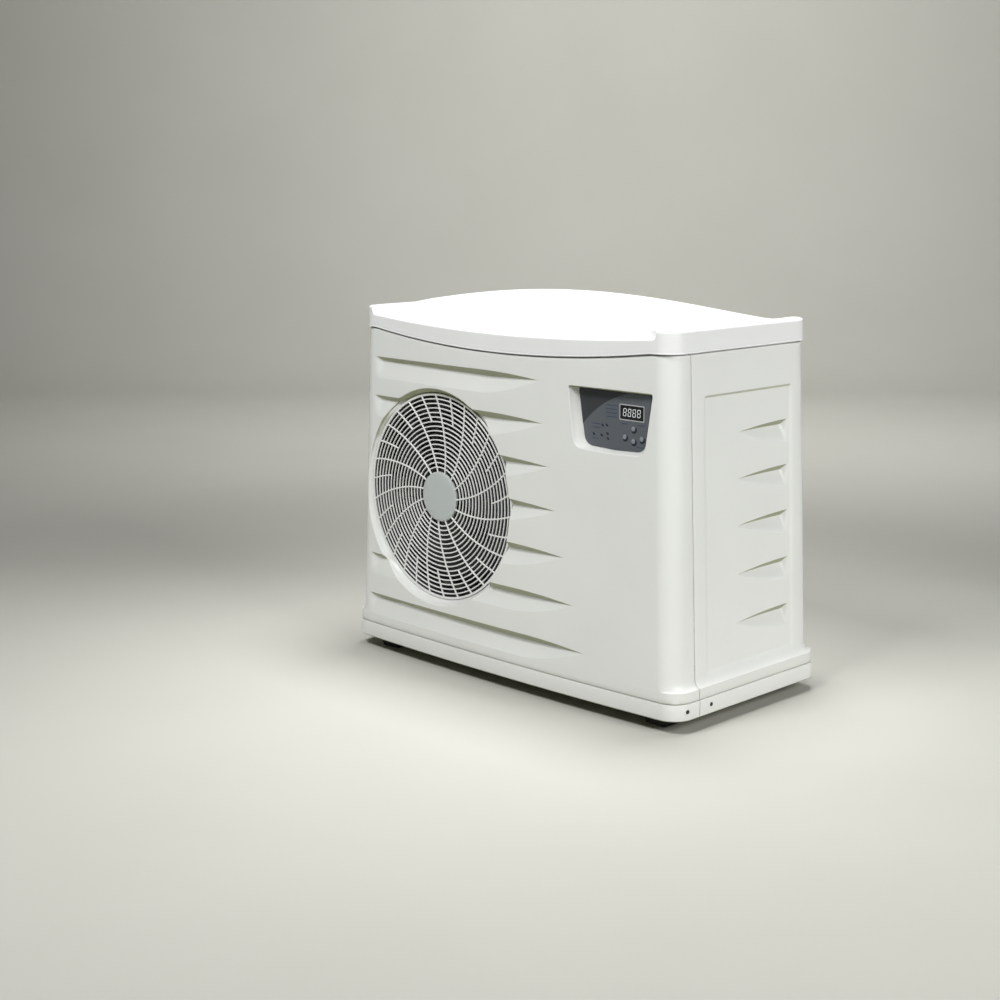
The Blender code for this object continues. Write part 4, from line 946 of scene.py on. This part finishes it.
def rear_panel():
    """The rear panel, with a raised rounded frame round the intake and its pipe holes."""
    left, right, low, high = REAR_OPENING
    reach = REAR_SEAM_X + SEAM_GAP
    heights = [z for z, _ in BAND_PROFILE] + fillet_heights()
    heights += [FILLET_TOP + (CASING_TOP - FILLET_TOP) * i / 60 for i in range(1, 61)]
    lips = [(reach + away, fall) for away, fall in reversed(SEAM_LIP)]
    inner = [(reach + 0.004 + (WIDTH - 2 * reach - 0.008) * i / 80, 0.0) for i in range(81)]
    columns = lips + inner + [(WIDTH - x, fall) for x, fall in reversed(lips)]
    loops = [[(x, DEPTH - rear_inset(z) - fall, z) for x, fall in reversed(columns)] for z in heights]
    bm = bmesh.new()
    bridge(bm, loops, closed=False)
    mesh = to_mesh("rear_panel_skin", bm, 50.0, outward=False)
    skin = piece("rear_panel_skin", mesh, CASING, "cabinet", ["rear_panel"])
    thicken(skin, SKIN_WALL)

    def loop_at(grow, depth_at):
        corners = box_corners(left, right, low, high, grow)
        outline = rounded_outline(corners, [INTAKE_RADIUS + grow] * 4)
        return [(x, depth_at(z), z) for x, z in outline]

    rim = 0.005
    intake = [loop_at(rim, lambda z, y=y: y) for y in THROUGH_REAR]
    cut(skin, cutter_object("intake_cutter", intake))
    for z in WATER_HEIGHTS.values():
        hole = [[(WATER_X + a, y, z + b) for a, b in circle(PIPE_HOLE, 64)] for y in THROUGH_REAR]
        cut(skin, cutter_object("pipe_cutter", hole))
    apply_modifiers(skin)

    def surface(z):
        return DEPTH - rear_inset(z)

    loops = [loop_at(rim, lambda z: surface(z) - LIP_BURIED), loop_at(rim, surface)]
    for grow, fall in rounding(rim, 6, first=1):
        loops.append(loop_at(grow, lambda z, fall=fall: surface(z) - fall))
    for grow in (0.0, 0.002):
        loops.append(loop_at(grow, lambda z: INTAKE_BACK_Y))
    mesh = ring_mesh("intake_frame", loops, 60.0)
    piece("intake_frame", mesh, CASING, "cabinet")


def rear_guard():
    """The intake's guard: a frame with stout bars and finer wires between them."""
    left, right, low, high = REAR_OPENING
    y = 0.4680
    bm = bmesh.new()
    for i in range(1, 6):
        x = left + (right - left) * i / 6
        bar(bm, [(x, y, low - 0.010), (x, y, high + 0.010)], 0.0024, 0.0015, (0, 1, 0))
    rows = 40
    for i in range(rows + 1):
        z = low + (high - low) * i / rows
        half = 0.0022 if i % 5 == 0 else 0.0011
        bar(bm, [(left - 0.010, y, z), (right + 0.010, y, z)], half, 0.0013, (0, 1, 0))
    corners = box_corners(left, right, low, high, 0.0085)
    for start, end in zip(corners, corners[1:] + corners[:1]):
        bar(bm, [(start[0], y, start[1]), (end[0], y, end[1])], 0.0030, 0.0015, (0, 1, 0))
    part("rear_guard_wires", bm, DARK_ABS, ["rear_guard"])


def coil_fins():
    """The coil, as a block of fins with pleated faces."""
    low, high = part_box("evaporator_coil")
    low, high = low - CORNER, high - CORNER
    pitch = 0.0024
    count = int((high.x - low.x) / pitch)
    loops = []
    for z in (low.z, high.z):
        loop = []
        for i in range(count + 1):
            x = low.x + (high.x - low.x) * i / count
            loop.append((x, high.y - (0.004 if i % 2 else 0.0), z))
        for i in range(count, -1, -1):
            x = low.x + (high.x - low.x) * i / count
            loop.append((x, low.y + (0.004 if i % 2 else 0.0), z))
        loops.append(loop)
    bm = bmesh.new()
    rows = bridge(bm, loops)
    for row, step in ((rows[0], -1), (rows[-1], 1)):
        half = len(row) // 2
        for i in range(half - 1):
            bm.faces.new((row[i], row[i + 1], row[len(row) - 2 - i], row[len(row) - 1 - i])[::step])
    part("coil_fins", bm, ALUMINIUM, ["evaporator_coil"], angle=10.0)


# ---------------------------------------------------------------- lid


def lid_edge(x, on_long_side, low):
    """Height of the lid skirt's lower edge, or of its upper one, at x on its outline."""
    away = abs(x - WIDTH / 2)
    share = min(away / LID_ARC_HALF, 1.0) ** 2
    if low:
        return LID_BOTTOM - (LID_ARC_DIP * (1 - share) if on_long_side else 0.0)
    if not on_long_side:
        return LID_TOP
    hollow = LID_TOP - LID_EDGE_STEP - LID_EDGE_DIP * (1 - share)
    step = smooth_step((away - LID_ARC_HALF - 0.003) / LID_STEP_RUN)
    return hollow + (LID_TOP - hollow) * step


def lid_surface(x, y):
    """Height of the lid's crowned top."""
    half_width = WIDTH / 2 - LID_SIDE_INSET
    half_depth = DEPTH / 2 - LID_FRONT_INSET + FRONT_BULGE / 2
    across = min(abs(x - WIDTH / 2) / half_width, 1.0)
    back = min(abs(y - DEPTH / 2 + FRONT_BULGE / 2) / half_depth, 1.0)
    ridge = LID_TOP + 0.001 + LID_CROWN * (1 - across**2)
    edge = lid_edge(x, True, False)
    return ridge - (ridge - edge) * back**2.2


def lid_ring(inset):
    """The lid's outline, drawn in by an inset: (x, y, on_long_side) points."""
    side, front = LID_SIDE_INSET, LID_FRONT_INSET
    radius = LID_RADIUS
    right = WIDTH - side
    rear = DEPTH - front
    corner = front - bulge(side + radius) + radius
    span = 150
    ring = []
    for i in range(span + 1):
        x = side + radius + (WIDTH - 2 * (side + radius)) * i / span
        ring.append((x, front - bulge(x) + inset, True))
    steps = 14

    def arc(centre_x, centre_y, start):
        for i in range(1, steps):
            angle = start + math.pi / 2 * i / steps
            r = radius - inset
            ring.append((centre_x + r * math.cos(angle), centre_y + r * math.sin(angle), False))

    arc(right - radius, corner, -math.pi / 2)
    sides = 50
    for i in range(sides + 1):
        ring.append((right - inset, corner + (rear - radius - corner) * i / sides, False))
    arc(right - radius, rear - radius, 0)
    for i in range(span, -1, -1):
        x = side + radius + (WIDTH - 2 * (side + radius)) * i / span
        ring.append((x, rear - inset, True))
    arc(side + radius, rear - radius, math.pi / 2)
    for i in range(sides, -1, -1):
        ring.append((side + inset, corner + (rear - radius - corner) * i / sides, False))
    arc(side + radius, corner, math.pi)
    return ring


def lid():
    """The lid: a skirt with a rolled lower lip, a rounded edge and a crowned top."""
    loops = []
    # The skirt from inside its lip, round the lip, up its face: (inset, height above the lower edge)
    lip = [(0.0032, 0.010), (0.0030, 0.0006), (0.0024, 0.0), (0.0006, 0.0), (0.0, 0.0006)]
    lip += [(0.0, 0.0022), (0.0005, 0.0027), (0.0009, 0.0031), (0.0010, 0.0060)]
    for inset, rise in lip:
        loops.append([(x, y, lid_edge(x, flat, True) + rise) for x, y, flat in lid_ring(inset)])
    for share in (0.25, 0.5, 0.75):
        loops.append([
            (x, y, lid_edge(x, flat, True) * (1 - share) + lid_edge(x, flat, False) * share)
            for x, y, flat in lid_ring(0.0010 + 0.0006 * share)
        ])
    rounding = 0.0055
    for step in range(9):
        angle = math.pi / 2 * step / 8
        inset = 0.0016 + rounding * (1 - math.cos(angle))
        fall = rounding * (1 - math.sin(angle))
        loops.append([(x, y, lid_edge(x, flat, False) - fall) for x, y, flat in lid_ring(inset)])
    edge = lid_ring(0.0016 + rounding)
    centre_x, centre_y = WIDTH / 2, DEPTH / 2 - FRONT_BULGE / 2
    rings = 44
    for i in range(1, rings):
        share = 1 - i / rings
        ring = []
        settle = smooth_step(i / 7)
        for x, y, flat in edge:
            near_x = centre_x + (x - centre_x) * share
            near_y = centre_y + (y - centre_y) * share
            rim = lid_edge(x, flat, False)
            ring.append((near_x, near_y, rim + (lid_surface(near_x, near_y) - rim) * settle))
        loops.append(ring)
    bm = bmesh.new()
    rows = bridge(bm, loops)
    tip = bm.verts.new((centre_x, centre_y, lid_surface(centre_x, centre_y)))
    count = len(rows[-1])
    for i in range(count):
        bm.faces.new((rows[-1][i], rows[-1][(i + 1) % count], tip))
    mesh = to_mesh("lid_shell", bm, 60.0, outward=False)
    shell = piece("lid_shell", mesh, LID, "lid_cover", ["lid"])
    thicken(shell, LID_WALL)
    apply_modifiers(shell)


# ---------------------------------------------------------------- fan


def grille_point(radius, angle, y):
    """A point round the fan's axis."""
    return (FAN_X + radius * math.cos(angle), y, FAN_Z + radius * math.sin(angle))


def fan_grille():
    """The outlet grille: hub cap, concentric rings and swept ribs, every other one short."""
    bm = bmesh.new()
    middle = (GRILLE_FRONT + GRILLE_BACK) / 2
    half_y = (GRILLE_BACK - GRILLE_FRONT) / 2
    pitch = (GRILLE_RADIUS - 0.002 - HUB_RADIUS) / RINGS
    for ring in range(1, RINGS + 1):
        radius = HUB_RADIUS + pitch * ring
        outer = ring == RINGS
        half = 0.0026 if outer else 0.0014
        front = middle - half_y + (0.0 if outer else 0.0005)
        back = middle + half_y - (0.0 if outer else 0.0004)
        edge = 0.0006
        profile = [(radius - half, back), (radius - half, front + edge), (radius - half + edge, front)]
        profile += [(radius + half - edge, front), (radius + half, front + edge), (radius + half, back)]
        turn(bm, profile, (FAN_X, 0.0, FAN_Z), 160)
    for rib in range(RIBS * 2):
        long = rib % 2 == 0
        inner = HUB_RADIUS - 0.003 if long else HUB_RADIUS + pitch * SHORT_RIB_RING
        steps = 26 if long else 12
        path = []
        for i in range(steps + 1):
            radius = inner + (GRILLE_RADIUS - 0.0028 - inner) * i / steps
            share = (radius - HUB_RADIUS) / (GRILLE_RADIUS - HUB_RADIUS)
            angle = math.tau * rib / (RIBS * 2) + RIB_SWEEP * rib_curve(share)
            path.append(grille_point(radius, angle, middle - 0.0002))
        bar(bm, path, 0.0017, half_y + 0.0001, (0, 1, 0))
    part("outlet_grille", bm, GRILLE, ["fan_grille"], angle=38.0)
    cap = [(0.0, -0.0030), (0.030, -0.0029), (0.0500, -0.0026), (0.0550, -0.0020), (0.0572, -0.0004)]
    cap += [(0.0578, 0.0020), (0.0578, 0.0046), (0.0, 0.0046)]
    bm = bmesh.new()
    turn(bm, cap, (FAN_X, GRILLE_FRONT, FAN_Z), 128)
    # The cap's darker colour is painted shade.
    part("grille_hub_cap", bm, SHADED_HUB, angle=38.0)


def rib_curve(share):
    """How much of its sweep a rib has made at a share of the way out: it curves most near the hub."""
    return max(share, 0.0) ** 0.85


def fan_rotor():
    """The axial fan, with cambered blades on a stepped hub."""
    front = (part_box("fan_rotor")[0] - CORNER).y
    bm = bmesh.new()
    hub, tip = 0.052, 0.2255
    profile = [(0.0, 0.004), (0.040, 0.002), (0.047, 0.003), (0.0505, 0.006), (hub, 0.012), (hub, 0.064)]
    profile += [(0.048, 0.070), (0.0, 0.070)]
    turn(bm, profile, (FAN_X, front, FAN_Z), 96)
    blades, spans, chords = 4, 18, 16
    for number in range(blades):
        sections = []
        for i in range(spans + 1):
            out = i / spans
            radius = hub - 0.004 + (tip - hub + 0.004) * out
            tip_cut = 1 - 0.30 * smooth_step((out - 0.72) / 0.28)
            half_angle = math.radians(33) * (0.80 + 0.25 * out) * tip_cut
            upper, lower = [], []
            for j in range(chords + 1):
                chord = -1 + 2 * j / chords
                angle = math.tau * number / blades + half_angle * chord + math.radians(16) * out * out
                rise = 0.036 - 0.026 * (1 - 0.15 * out) * chord - 0.007 * (1 - chord * chord) * out
                thick = 0.0006 + 0.0016 * math.sqrt(max(1 - chord * chord, 0.0))
                x, z = FAN_X + radius * math.cos(angle), FAN_Z - radius * math.sin(angle)
                upper.append((x, front + rise - thick, z))
                lower.append((x, front + rise + thick, z))
            sections.append(upper + list(reversed(lower)))
        capped(bm, sections)
    part("fan_blades", bm, FAN_ABS, ["fan_rotor"], "fan", 45.0)


# ---------------------------------------------------------------- controller


def flat_panel(bm, outline, front, back):
    """A flat plate from an (x, z) outline."""
    rows = bridge(bm, [[(x, front, z) for x, z in outline], [(x, back, z) for x, z in outline]])
    bm.faces.new(rows[0])
    bm.faces.new(list(reversed(rows[-1])))


DISPLAY_LOW, DISPLAY_HIGH = (0.855, 0.611), (0.919, 0.640)
BUTTONS = {
    "button_up": (0.891, 0.593),
    "button_left": (0.867, 0.574),
    "button_down": (0.891, 0.567),
    "button_right": (0.914, 0.574),
}
INDICATORS = (
    (0.8053, 0.5923), (0.8175, 0.5936), (0.7804, 0.5715),
    (0.8025, 0.5709), (0.8193, 0.5757), (0.8205, 0.5655),
)
ARC_CENTRE = (0.9272, 0.4294)
ARC_RADIUS = 0.2402
FACE_ARC_LOW = 0.5900


def controller_face():
    """The face film: grey, with a darker corner behind an arc, and printed label bars."""
    bm = bmesh.new()
    flat_panel(bm, pocket_outline(1.0, -0.0006), FACE_Y, FACE_Y + 0.0018)
    part("controller_film", bm, FACE, ["control_face"])
    bm = bmesh.new()
    corner = pocket_outline(1.0, -0.0010)[-7:]
    flat_panel(bm, corner + dark_arc(corner[0]), FACE_Y - 0.00012, FACE_Y - 0.00001)
    part("controller_dark_corner", bm, FACE_DARK)
    printed_marks()


def dark_arc(top_right):
    """The dark corner's bowed edge, from the face's left edge up to its top edge."""
    steps = 24
    low = math.pi - math.asin((FACE_ARC_LOW - ARC_CENTRE[1]) / ARC_RADIUS)
    high = math.pi - math.asin((top_right[1] - ARC_CENTRE[1]) / ARC_RADIUS)
    points = []
    for i in range(steps + 1):
        angle = low + (high - low) * i / steps
        across, up = ARC_RADIUS * math.cos(angle), ARC_RADIUS * math.sin(angle)
        points.append((ARC_CENTRE[0] + across, ARC_CENTRE[1] + up))
    return points


def printed_marks():
    """Label bars, indicator marks and a painted shadow crescent at each button's lower right: plain shapes
    with no lettering.
    """
    front, back = FACE_Y - 0.00015, FACE_Y - 0.00001
    bm = bmesh.new()
    bars = [(0.815, 0.846, z) for z in (0.6365, 0.6285, 0.6205, 0.6125)]
    bars += [(0.776, 0.798, z) for z in (0.594, 0.586)]
    bars += [(0.776, 0.793, 0.5625), (0.858, 0.876, 0.6015), (0.903, 0.923, 0.6015)]
    bars += [(0.900, 0.922, 0.5560)]
    for left, right, z in bars:
        block(bm, (left, front, z - 0.0010), (right, back, z + 0.0010))
    part("controller_labels", bm, INK_BLUE)
    bm = bmesh.new()
    for x, z in INDICATORS:
        turned = Matrix.Rotation(math.radians(-35), 2)
        oval = [turned @ Vector((0.0040 * a, 0.0024 * b)) for a, b in circle(1.0, 16)]
        flat_panel(bm, [(x + across, z + up) for across, up in oval], front, back)
    # Painted shadow: a dark crescent at each button's lower right, where its shadow would fall.
    for x, z in BUTTONS.values():
        angles = [math.radians(-135 + 165 * i / 18) for i in range(19)]
        outer = [(x + 0.0016 + 0.0082 * math.cos(a), z - 0.0016 + 0.0082 * math.sin(a)) for a in angles]
        inner = [(x + 0.0058 * math.cos(a), z + 0.0058 * math.sin(a)) for a in reversed(angles)]
        flat_panel(bm, outer + inner, front, back)
    part("controller_indicators_and_button_shadows", bm, DARK_INK_AND_PAINTED_SHADOW)


def display():
    """The display: a pale frame, black glass and lit seven-segment digits."""
    (left, low), (right, high) = DISPLAY_LOW, DISPLAY_HIGH
    edge = 0.0022
    outer = rounded_outline(box_corners(left, right, low, high, edge), [0.002] * 4, 3)
    inner = rounded_outline(box_corners(left, right, low, high), [0.0008] * 4, 3)
    front, back = FACE_Y - 0.0005, FACE_Y + 0.0004
    loops = [[(x, back, z) for x, z in outer], [(x, front + 0.0002, z) for x, z in outer]]
    loops += [[(x, front, z) for x, z in rounded_shrink(outer, inner, share)] for share in (0.25, 0.80)]
    loops += [[(x, back, z) for x, z in inner]]
    mesh = ring_mesh("display_frame", loops)
    piece("display_frame", mesh, FRAME_GREY, "cabinet")
    bm = bmesh.new()
    flat_panel(bm, rounded_shrink(outer, inner, 0.97), FACE_Y - 0.0002, FACE_Y + 0.0001)
    part("display_glass", bm, GLASS_BLACK, ["display_window"])
    bm = bmesh.new()
    digits = 4
    pitch = (right - left - 0.012) / digits
    height, width, stroke = 0.0165, 0.0088, 0.0013
    depths = FACE_Y - 0.00035, FACE_Y - 0.00022
    lean = 0.10
    for number in range(digits):
        x = left + 0.006 + pitch * (number + 0.5)
        z = (low + high) / 2
        half_w, half_h = width / 2, height / 2
        for level in (-1, 0, 1):
            centre = x + lean * half_h * level, z + (half_h - stroke / 2) * level
            segment(bm, centre, half_w - stroke * 0.6, stroke / 2, False, *depths)
        for across in (-1, 1):
            for level in (-1, 1):
                centre_x = x + across * (half_w - stroke / 2) + lean * half_h * level / 2
                centre = centre_x, z + half_h / 2 * level
                segment(bm, centre, half_h / 2 - stroke * 0.6, stroke / 2, True, *depths)
    part("display_digits", bm, DIGIT)


def segment(bm, centre, length, half, upright, front, back):
    """One bar of a digit, with pointed ends."""
    shape = [(-length, 0), (-length + half, -half), (length - half, -half), (length, 0)]
    shape += [(length - half, half), (-length + half, half)]
    if upright:
        shape = [(-b, a) for a, b in shape]
    flat_panel(bm, [(centre[0] + a, centre[1] + b) for a, b in shape], front, back)


def rounded_shrink(outer, inner, share):
    """An outline part of the way from an outer one to an inner one."""
    return [(a[0] + (b[0] - a[0]) * share, a[1] + (b[1] - a[1]) * share) for a, b in zip(outer, inner)]


def buttons():
    """Four domed round buttons."""
    for name, (x, z) in BUTTONS.items():
        low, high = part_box(name)
        front, back = low.y - CORNER.y, high.y - CORNER.y
        bm = bmesh.new()
        profile = [(0.0, front), (0.0022, front + 0.00005), (0.0038, front + 0.0003)]
        profile += [(0.0047, front + 0.0008), (0.0050, front + 0.0014), (0.0050, back), (0.0, back)]
        turn(bm, profile, (x, 0.0, z), 40)
        part(f"{name}_cap", bm, BUTTON, [name], name)


# ---------------------------------------------------------------- fasteners, feet, fittings


SCREW_HEIGHT = 0.020
SCREW_LEAN = math.radians(10)
BOSS_PROFILE = (
    (0.0075, -0.0006), (0.0072, 0.0003), (0.0062, 0.0005), (0.0052, 0.0002), (0.0048, -0.0006),
)
HEAD_PROFILE = (
    (0.0, 0.0006), (0.0014, 0.0010), (0.0030, 0.0012), (0.0042, 0.0007), (0.0045, -0.0010), (0.0, -0.0012),
)


def screws():
    """Screws in the band, each with a dimpled head in a shallow pale boss."""
    for name in ("screw_front_right", "screw_front_left", "screw_side_right", "screw_side_left"):
        low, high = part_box(name)
        middle = (low + high) / 2 - CORNER
        angle, x, y = 0.0, WIDTH, middle.y
        if "front" in name:
            angle = -SCREW_LEAN
            x = WIDTH - CORNER_RADIUS * (1 - math.cos(angle))
            y = CORNER_RADIUS - bulge(CORNER_RADIUS) + CORNER_RADIUS * math.sin(angle)
        out = Vector((math.cos(angle), math.sin(angle), 0))
        if middle.x < WIDTH / 2:
            x, out.x = WIDTH - x, -out.x
        turned = out.to_track_quat("Z", "Y").to_matrix()
        for kind, profile, material, slot, nodes in (
            ("boss", BOSS_PROFILE, CASING, "casing_abs", []),
            ("head", HEAD_PROFILE, SCREW, "screw_steel", [name]),
        ):
            bm = bmesh.new()
            turn(bm, profile, (0, 0, 0), 40, axis="Z")
            bmesh.ops.rotate(bm, cent=(0, 0, 0), matrix=turned, verts=bm.verts)
            bmesh.ops.translate(bm, vec=(x, y, SCREW_HEIGHT), verts=bm.verts)
            part(f"{name}_{kind}", bm, material, nodes)


def feet():
    """Square rubber feet with rounded edges and a grooved sole rim."""
    for name in ("foot_front_left", "foot_front_right", "foot_rear_left", "foot_rear_right"):
        low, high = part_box(name)
        low, high = low - CORNER, high - CORNER
        middle = (low + high) / 2
        loops = []
        top = high.z - low.z
        levels = [(0.0, 0.0262), (0.0008, 0.0275), (0.0035, 0.0280), (0.0040, 0.0272), (0.0052, 0.0272)]
        levels += [(0.0057, 0.0283), (0.020, 0.0302), (top - 0.002, 0.0315), (top, 0.0308)]
        for rise, half in levels:
            radius = 0.006 if rise else 0.005
            outline = rounded_outline(box_corners(-half, half, -half, half), [radius] * 4, 5)
            loops.append([(middle.x + a, middle.y + b, low.z + rise) for a, b in outline])
        bm = bmesh.new()
        capped(bm, loops)
        part(f"{name}_pad", bm, RUBBER, [name])


def water_unions():
    """Each connection's ribbed union nut, its tailpiece and the collar behind it."""
    for name, z in WATER_HEIGHTS.items():
        nut_low, nut_high = (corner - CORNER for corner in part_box(f"{name}_union_nut"))
        length = nut_high.y - nut_low.y
        centre = (WATER_X, nut_low.y, z)
        bm = bmesh.new()

        def grip(radius, along, angle):
            """Twelve rounded grip ribs on the nut's barrel."""
            if radius < 0.0365 or not 0.002 < along < length - 0.003:
                return radius
            return radius + 0.0034 * max(math.cos(12 * angle), 0.0) ** 2

        profile = [(0.0306, 0.0005), (0.0365, 0.0), (0.0382, 0.0012), (0.0384, 0.0035), (0.0386, 0.010)]
        profile += [(0.0386, length - 0.009), (0.0382, length - 0.0045), (0.0372, length - 0.0015)]
        profile += [(0.0355, length), (0.0275, length), (0.0268, length - 0.0008), (0.0268, length - 0.0052)]
        profile += [(0.0306, length - 0.0054)]
        turn(bm, profile, centre, 192, grip)
        part(f"{name}_nut_grip", bm, PVC, [f"{name}_union_nut"], f"{name}_nut", 35.0)
        low, high = (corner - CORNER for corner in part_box(f"{name}_tailpiece"))
        length = high.y - low.y
        bm = bmesh.new()
        profile = [(0.0210, 0.0), (0.0296, 0.0), (0.0296, 0.0048), (0.0262, 0.0050)]
        profile += [(0.0262, length - 0.0016), (0.0250, length), (0.0222, length), (0.0210, length - 0.0012)]
        turn(bm, profile, (WATER_X, low.y, z), 96)
        part(f"{name}_socket", bm, PVC, [f"{name}_tailpiece"], angle=35.0)
        low, high = (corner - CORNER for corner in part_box(f"{name}_pipe"))
        length = high.y - low.y
        bm = bmesh.new()
        thread = 0.494 - low.y
        profile = [(0.0210, 0.0), (0.0250, 0.0), (0.0250, thread), (0.0300, thread)]
        turns = 5
        for i in range(turns * 2 + 1):
            along = thread + 0.002 + (length - thread - 0.004) * i / (turns * 2)
            profile.append((0.0300 if i % 2 == 0 else 0.0286, along))
        profile += [(0.0300, length), (0.0210, length)]
        turn(bm, profile, (WATER_X, low.y, z), 96)
        part(f"{name}_threaded_pipe", bm, PVC, [f"{name}_pipe"], angle=35.0)


GLAND_WALL_Y = 0.4797


def cable_gland():
    """The cable gland: a domed nut over a hexagonal body."""
    low, high = (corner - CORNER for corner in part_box("cable_gland"))
    middle = (low + high) / 2
    base = GLAND_WALL_Y - low.y
    bm = bmesh.new()

    def hexagon(radius, along, angle):
        """Flats on the body, next to the wall."""
        if not (0.0005 < along - base < 0.0065 and radius > 0.0125):
            return radius
        turned = (angle % (math.pi / 3)) - math.pi / 6
        return min(radius, 0.0127 / math.cos(turned))

    profile = [(0.0065, 0.0), (0.0100, 0.0), (0.0100, base + 0.0003), (0.0144, base + 0.0006)]
    profile += [(0.0145, base + 0.0062), (0.0124, base + 0.0068), (0.0124, base + 0.0100)]
    profile += [(0.0126, base + 0.0104), (0.0126, base + 0.0140), (0.0118, base + 0.0168)]
    profile += [(0.0098, base + 0.0192), (0.0078, base + 0.0199), (0.0065, base + 0.0190)]
    turn(bm, profile, (middle.x, low.y, middle.z), 96, hexagon)
    part("cable_gland_body", bm, DARK_ABS, ["cable_gland"], angle=30.0)


# ---------------------------------------------------------------- stage


def stage():
    """A plain pale floor that curves up behind the unit."""
    bm = bmesh.new()
    size, rise, back, cove = 14.0, 7.0, 6.5, 1.6
    profile = [(-size, 0.0), (back - cove, 0.0)]
    steps = 12
    for i in range(1, steps + 1):
        angle = math.pi / 2 * i / steps
        profile.append((back - cove + cove * math.sin(angle), cove * (1 - math.cos(angle))))
    profile.append((back, rise))
    turned = Matrix.Rotation(math.radians(44), 3, "Z")
    loops = [[turned @ Vector((x, y, z)) for y, z in profile] for x in (-size, size)]
    bridge(bm, loops, closed=False)
    mesh = to_mesh("floor", bm, outward=False)
    finish = Finish("floor_looks", (0.52, 0.52, 0.47), 0.8)
    finish.tint(finish.noise(1.5, 4.0), (0.50, 0.50, 0.45))
    finish.bump(finish.noise(90.0), 0.03, 0.0006)
    mesh.materials.append(finish.material)
    floor = bpy.data.objects.new("floor", mesh)
    bpy.context.scene.collection.objects.link(floor)


def area_light(name, location, target, size, power, spread=180.0):
    """A rectangular light aimed at a target."""
    data = bpy.data.lights.new(name, "AREA")
    data.shape = "RECTANGLE"
    data.size, data.size_y = size
    data.energy = power
    data.spread = math.radians(spread)
    lamp = bpy.data.objects.new(name, data)
    lamp.location = location
    lamp.rotation_euler = (Vector(target) - Vector(location)).to_track_quat("-Z", "Y").to_euler()
    bpy.context.scene.collection.objects.link(lamp)


def lights():
    """Soft studio light and a faint sky."""
    middle = (0.0, 0.0, 0.42)
    area_light("key_overhead", (0.2, -2.4, 3.5), (0.0, -0.2, 0.4), (1.4, 1.0), 108.0)
    area_light("top_light", (0.0, 0.3, 3.1), (0.0, 0.0, 0.8), (1.2, 0.8), 11.0, spread=60.0)
    area_light("right_window", (3.9, -0.2, 2.1), middle, (1.8, 1.6), 96.0)
    area_light("front_window", (-0.9, -4.2, 1.8), middle, (2.4, 1.6), 3.0)
    area_light("backdrop_wash", (-1.4, 1.9, 3.2), (-3.6, 4.6, 1.6), (3.0, 1.5), 150.0)
    world = bpy.data.worlds.new("studio")
    world.use_nodes = True
    world.node_tree.nodes["Background"].inputs["Color"].default_value = (0.93, 0.96, 1.0, 1.0)
    world.node_tree.nodes["Background"].inputs["Strength"].default_value = 0.07
    bpy.context.scene.world = world
    bpy.context.scene.view_settings.view_transform = "Standard"


def camera():
    """The camera, seeing the front and the right side from a little above."""
    data = bpy.data.cameras.new("camera")
    data.lens = 61.587
    data.sensor_width = 36.0
    data.shift_x = -0.060
    data.shift_y = -0.0893
    data.clip_end = 60.0
    made = bpy.data.objects.new("camera", data)
    made.location = CORNER + Vector((3.2101, -2.5694, 1.1205))
    made.rotation_euler = (math.pi / 2 - 0.14, 0.0, 0.7734)
    bpy.context.scene.collection.objects.link(made)
    bpy.context.scene.camera = made


# ---------------------------------------------------------------- making

camera()
dress_frame()
casing_front()
casing_mouth()
casing_pocket()
side_panel("right_side_skin", True, "right_side_panel")
side_panel("left_side_skin", False, "left_side_panel")
rear_panel()
rear_guard()
coil_fins()
lid()
fan_grille()
fan_rotor()
controller_face()
display()
buttons()
screws()
feet()
water_unions()
cable_gland()
stage()
lights()
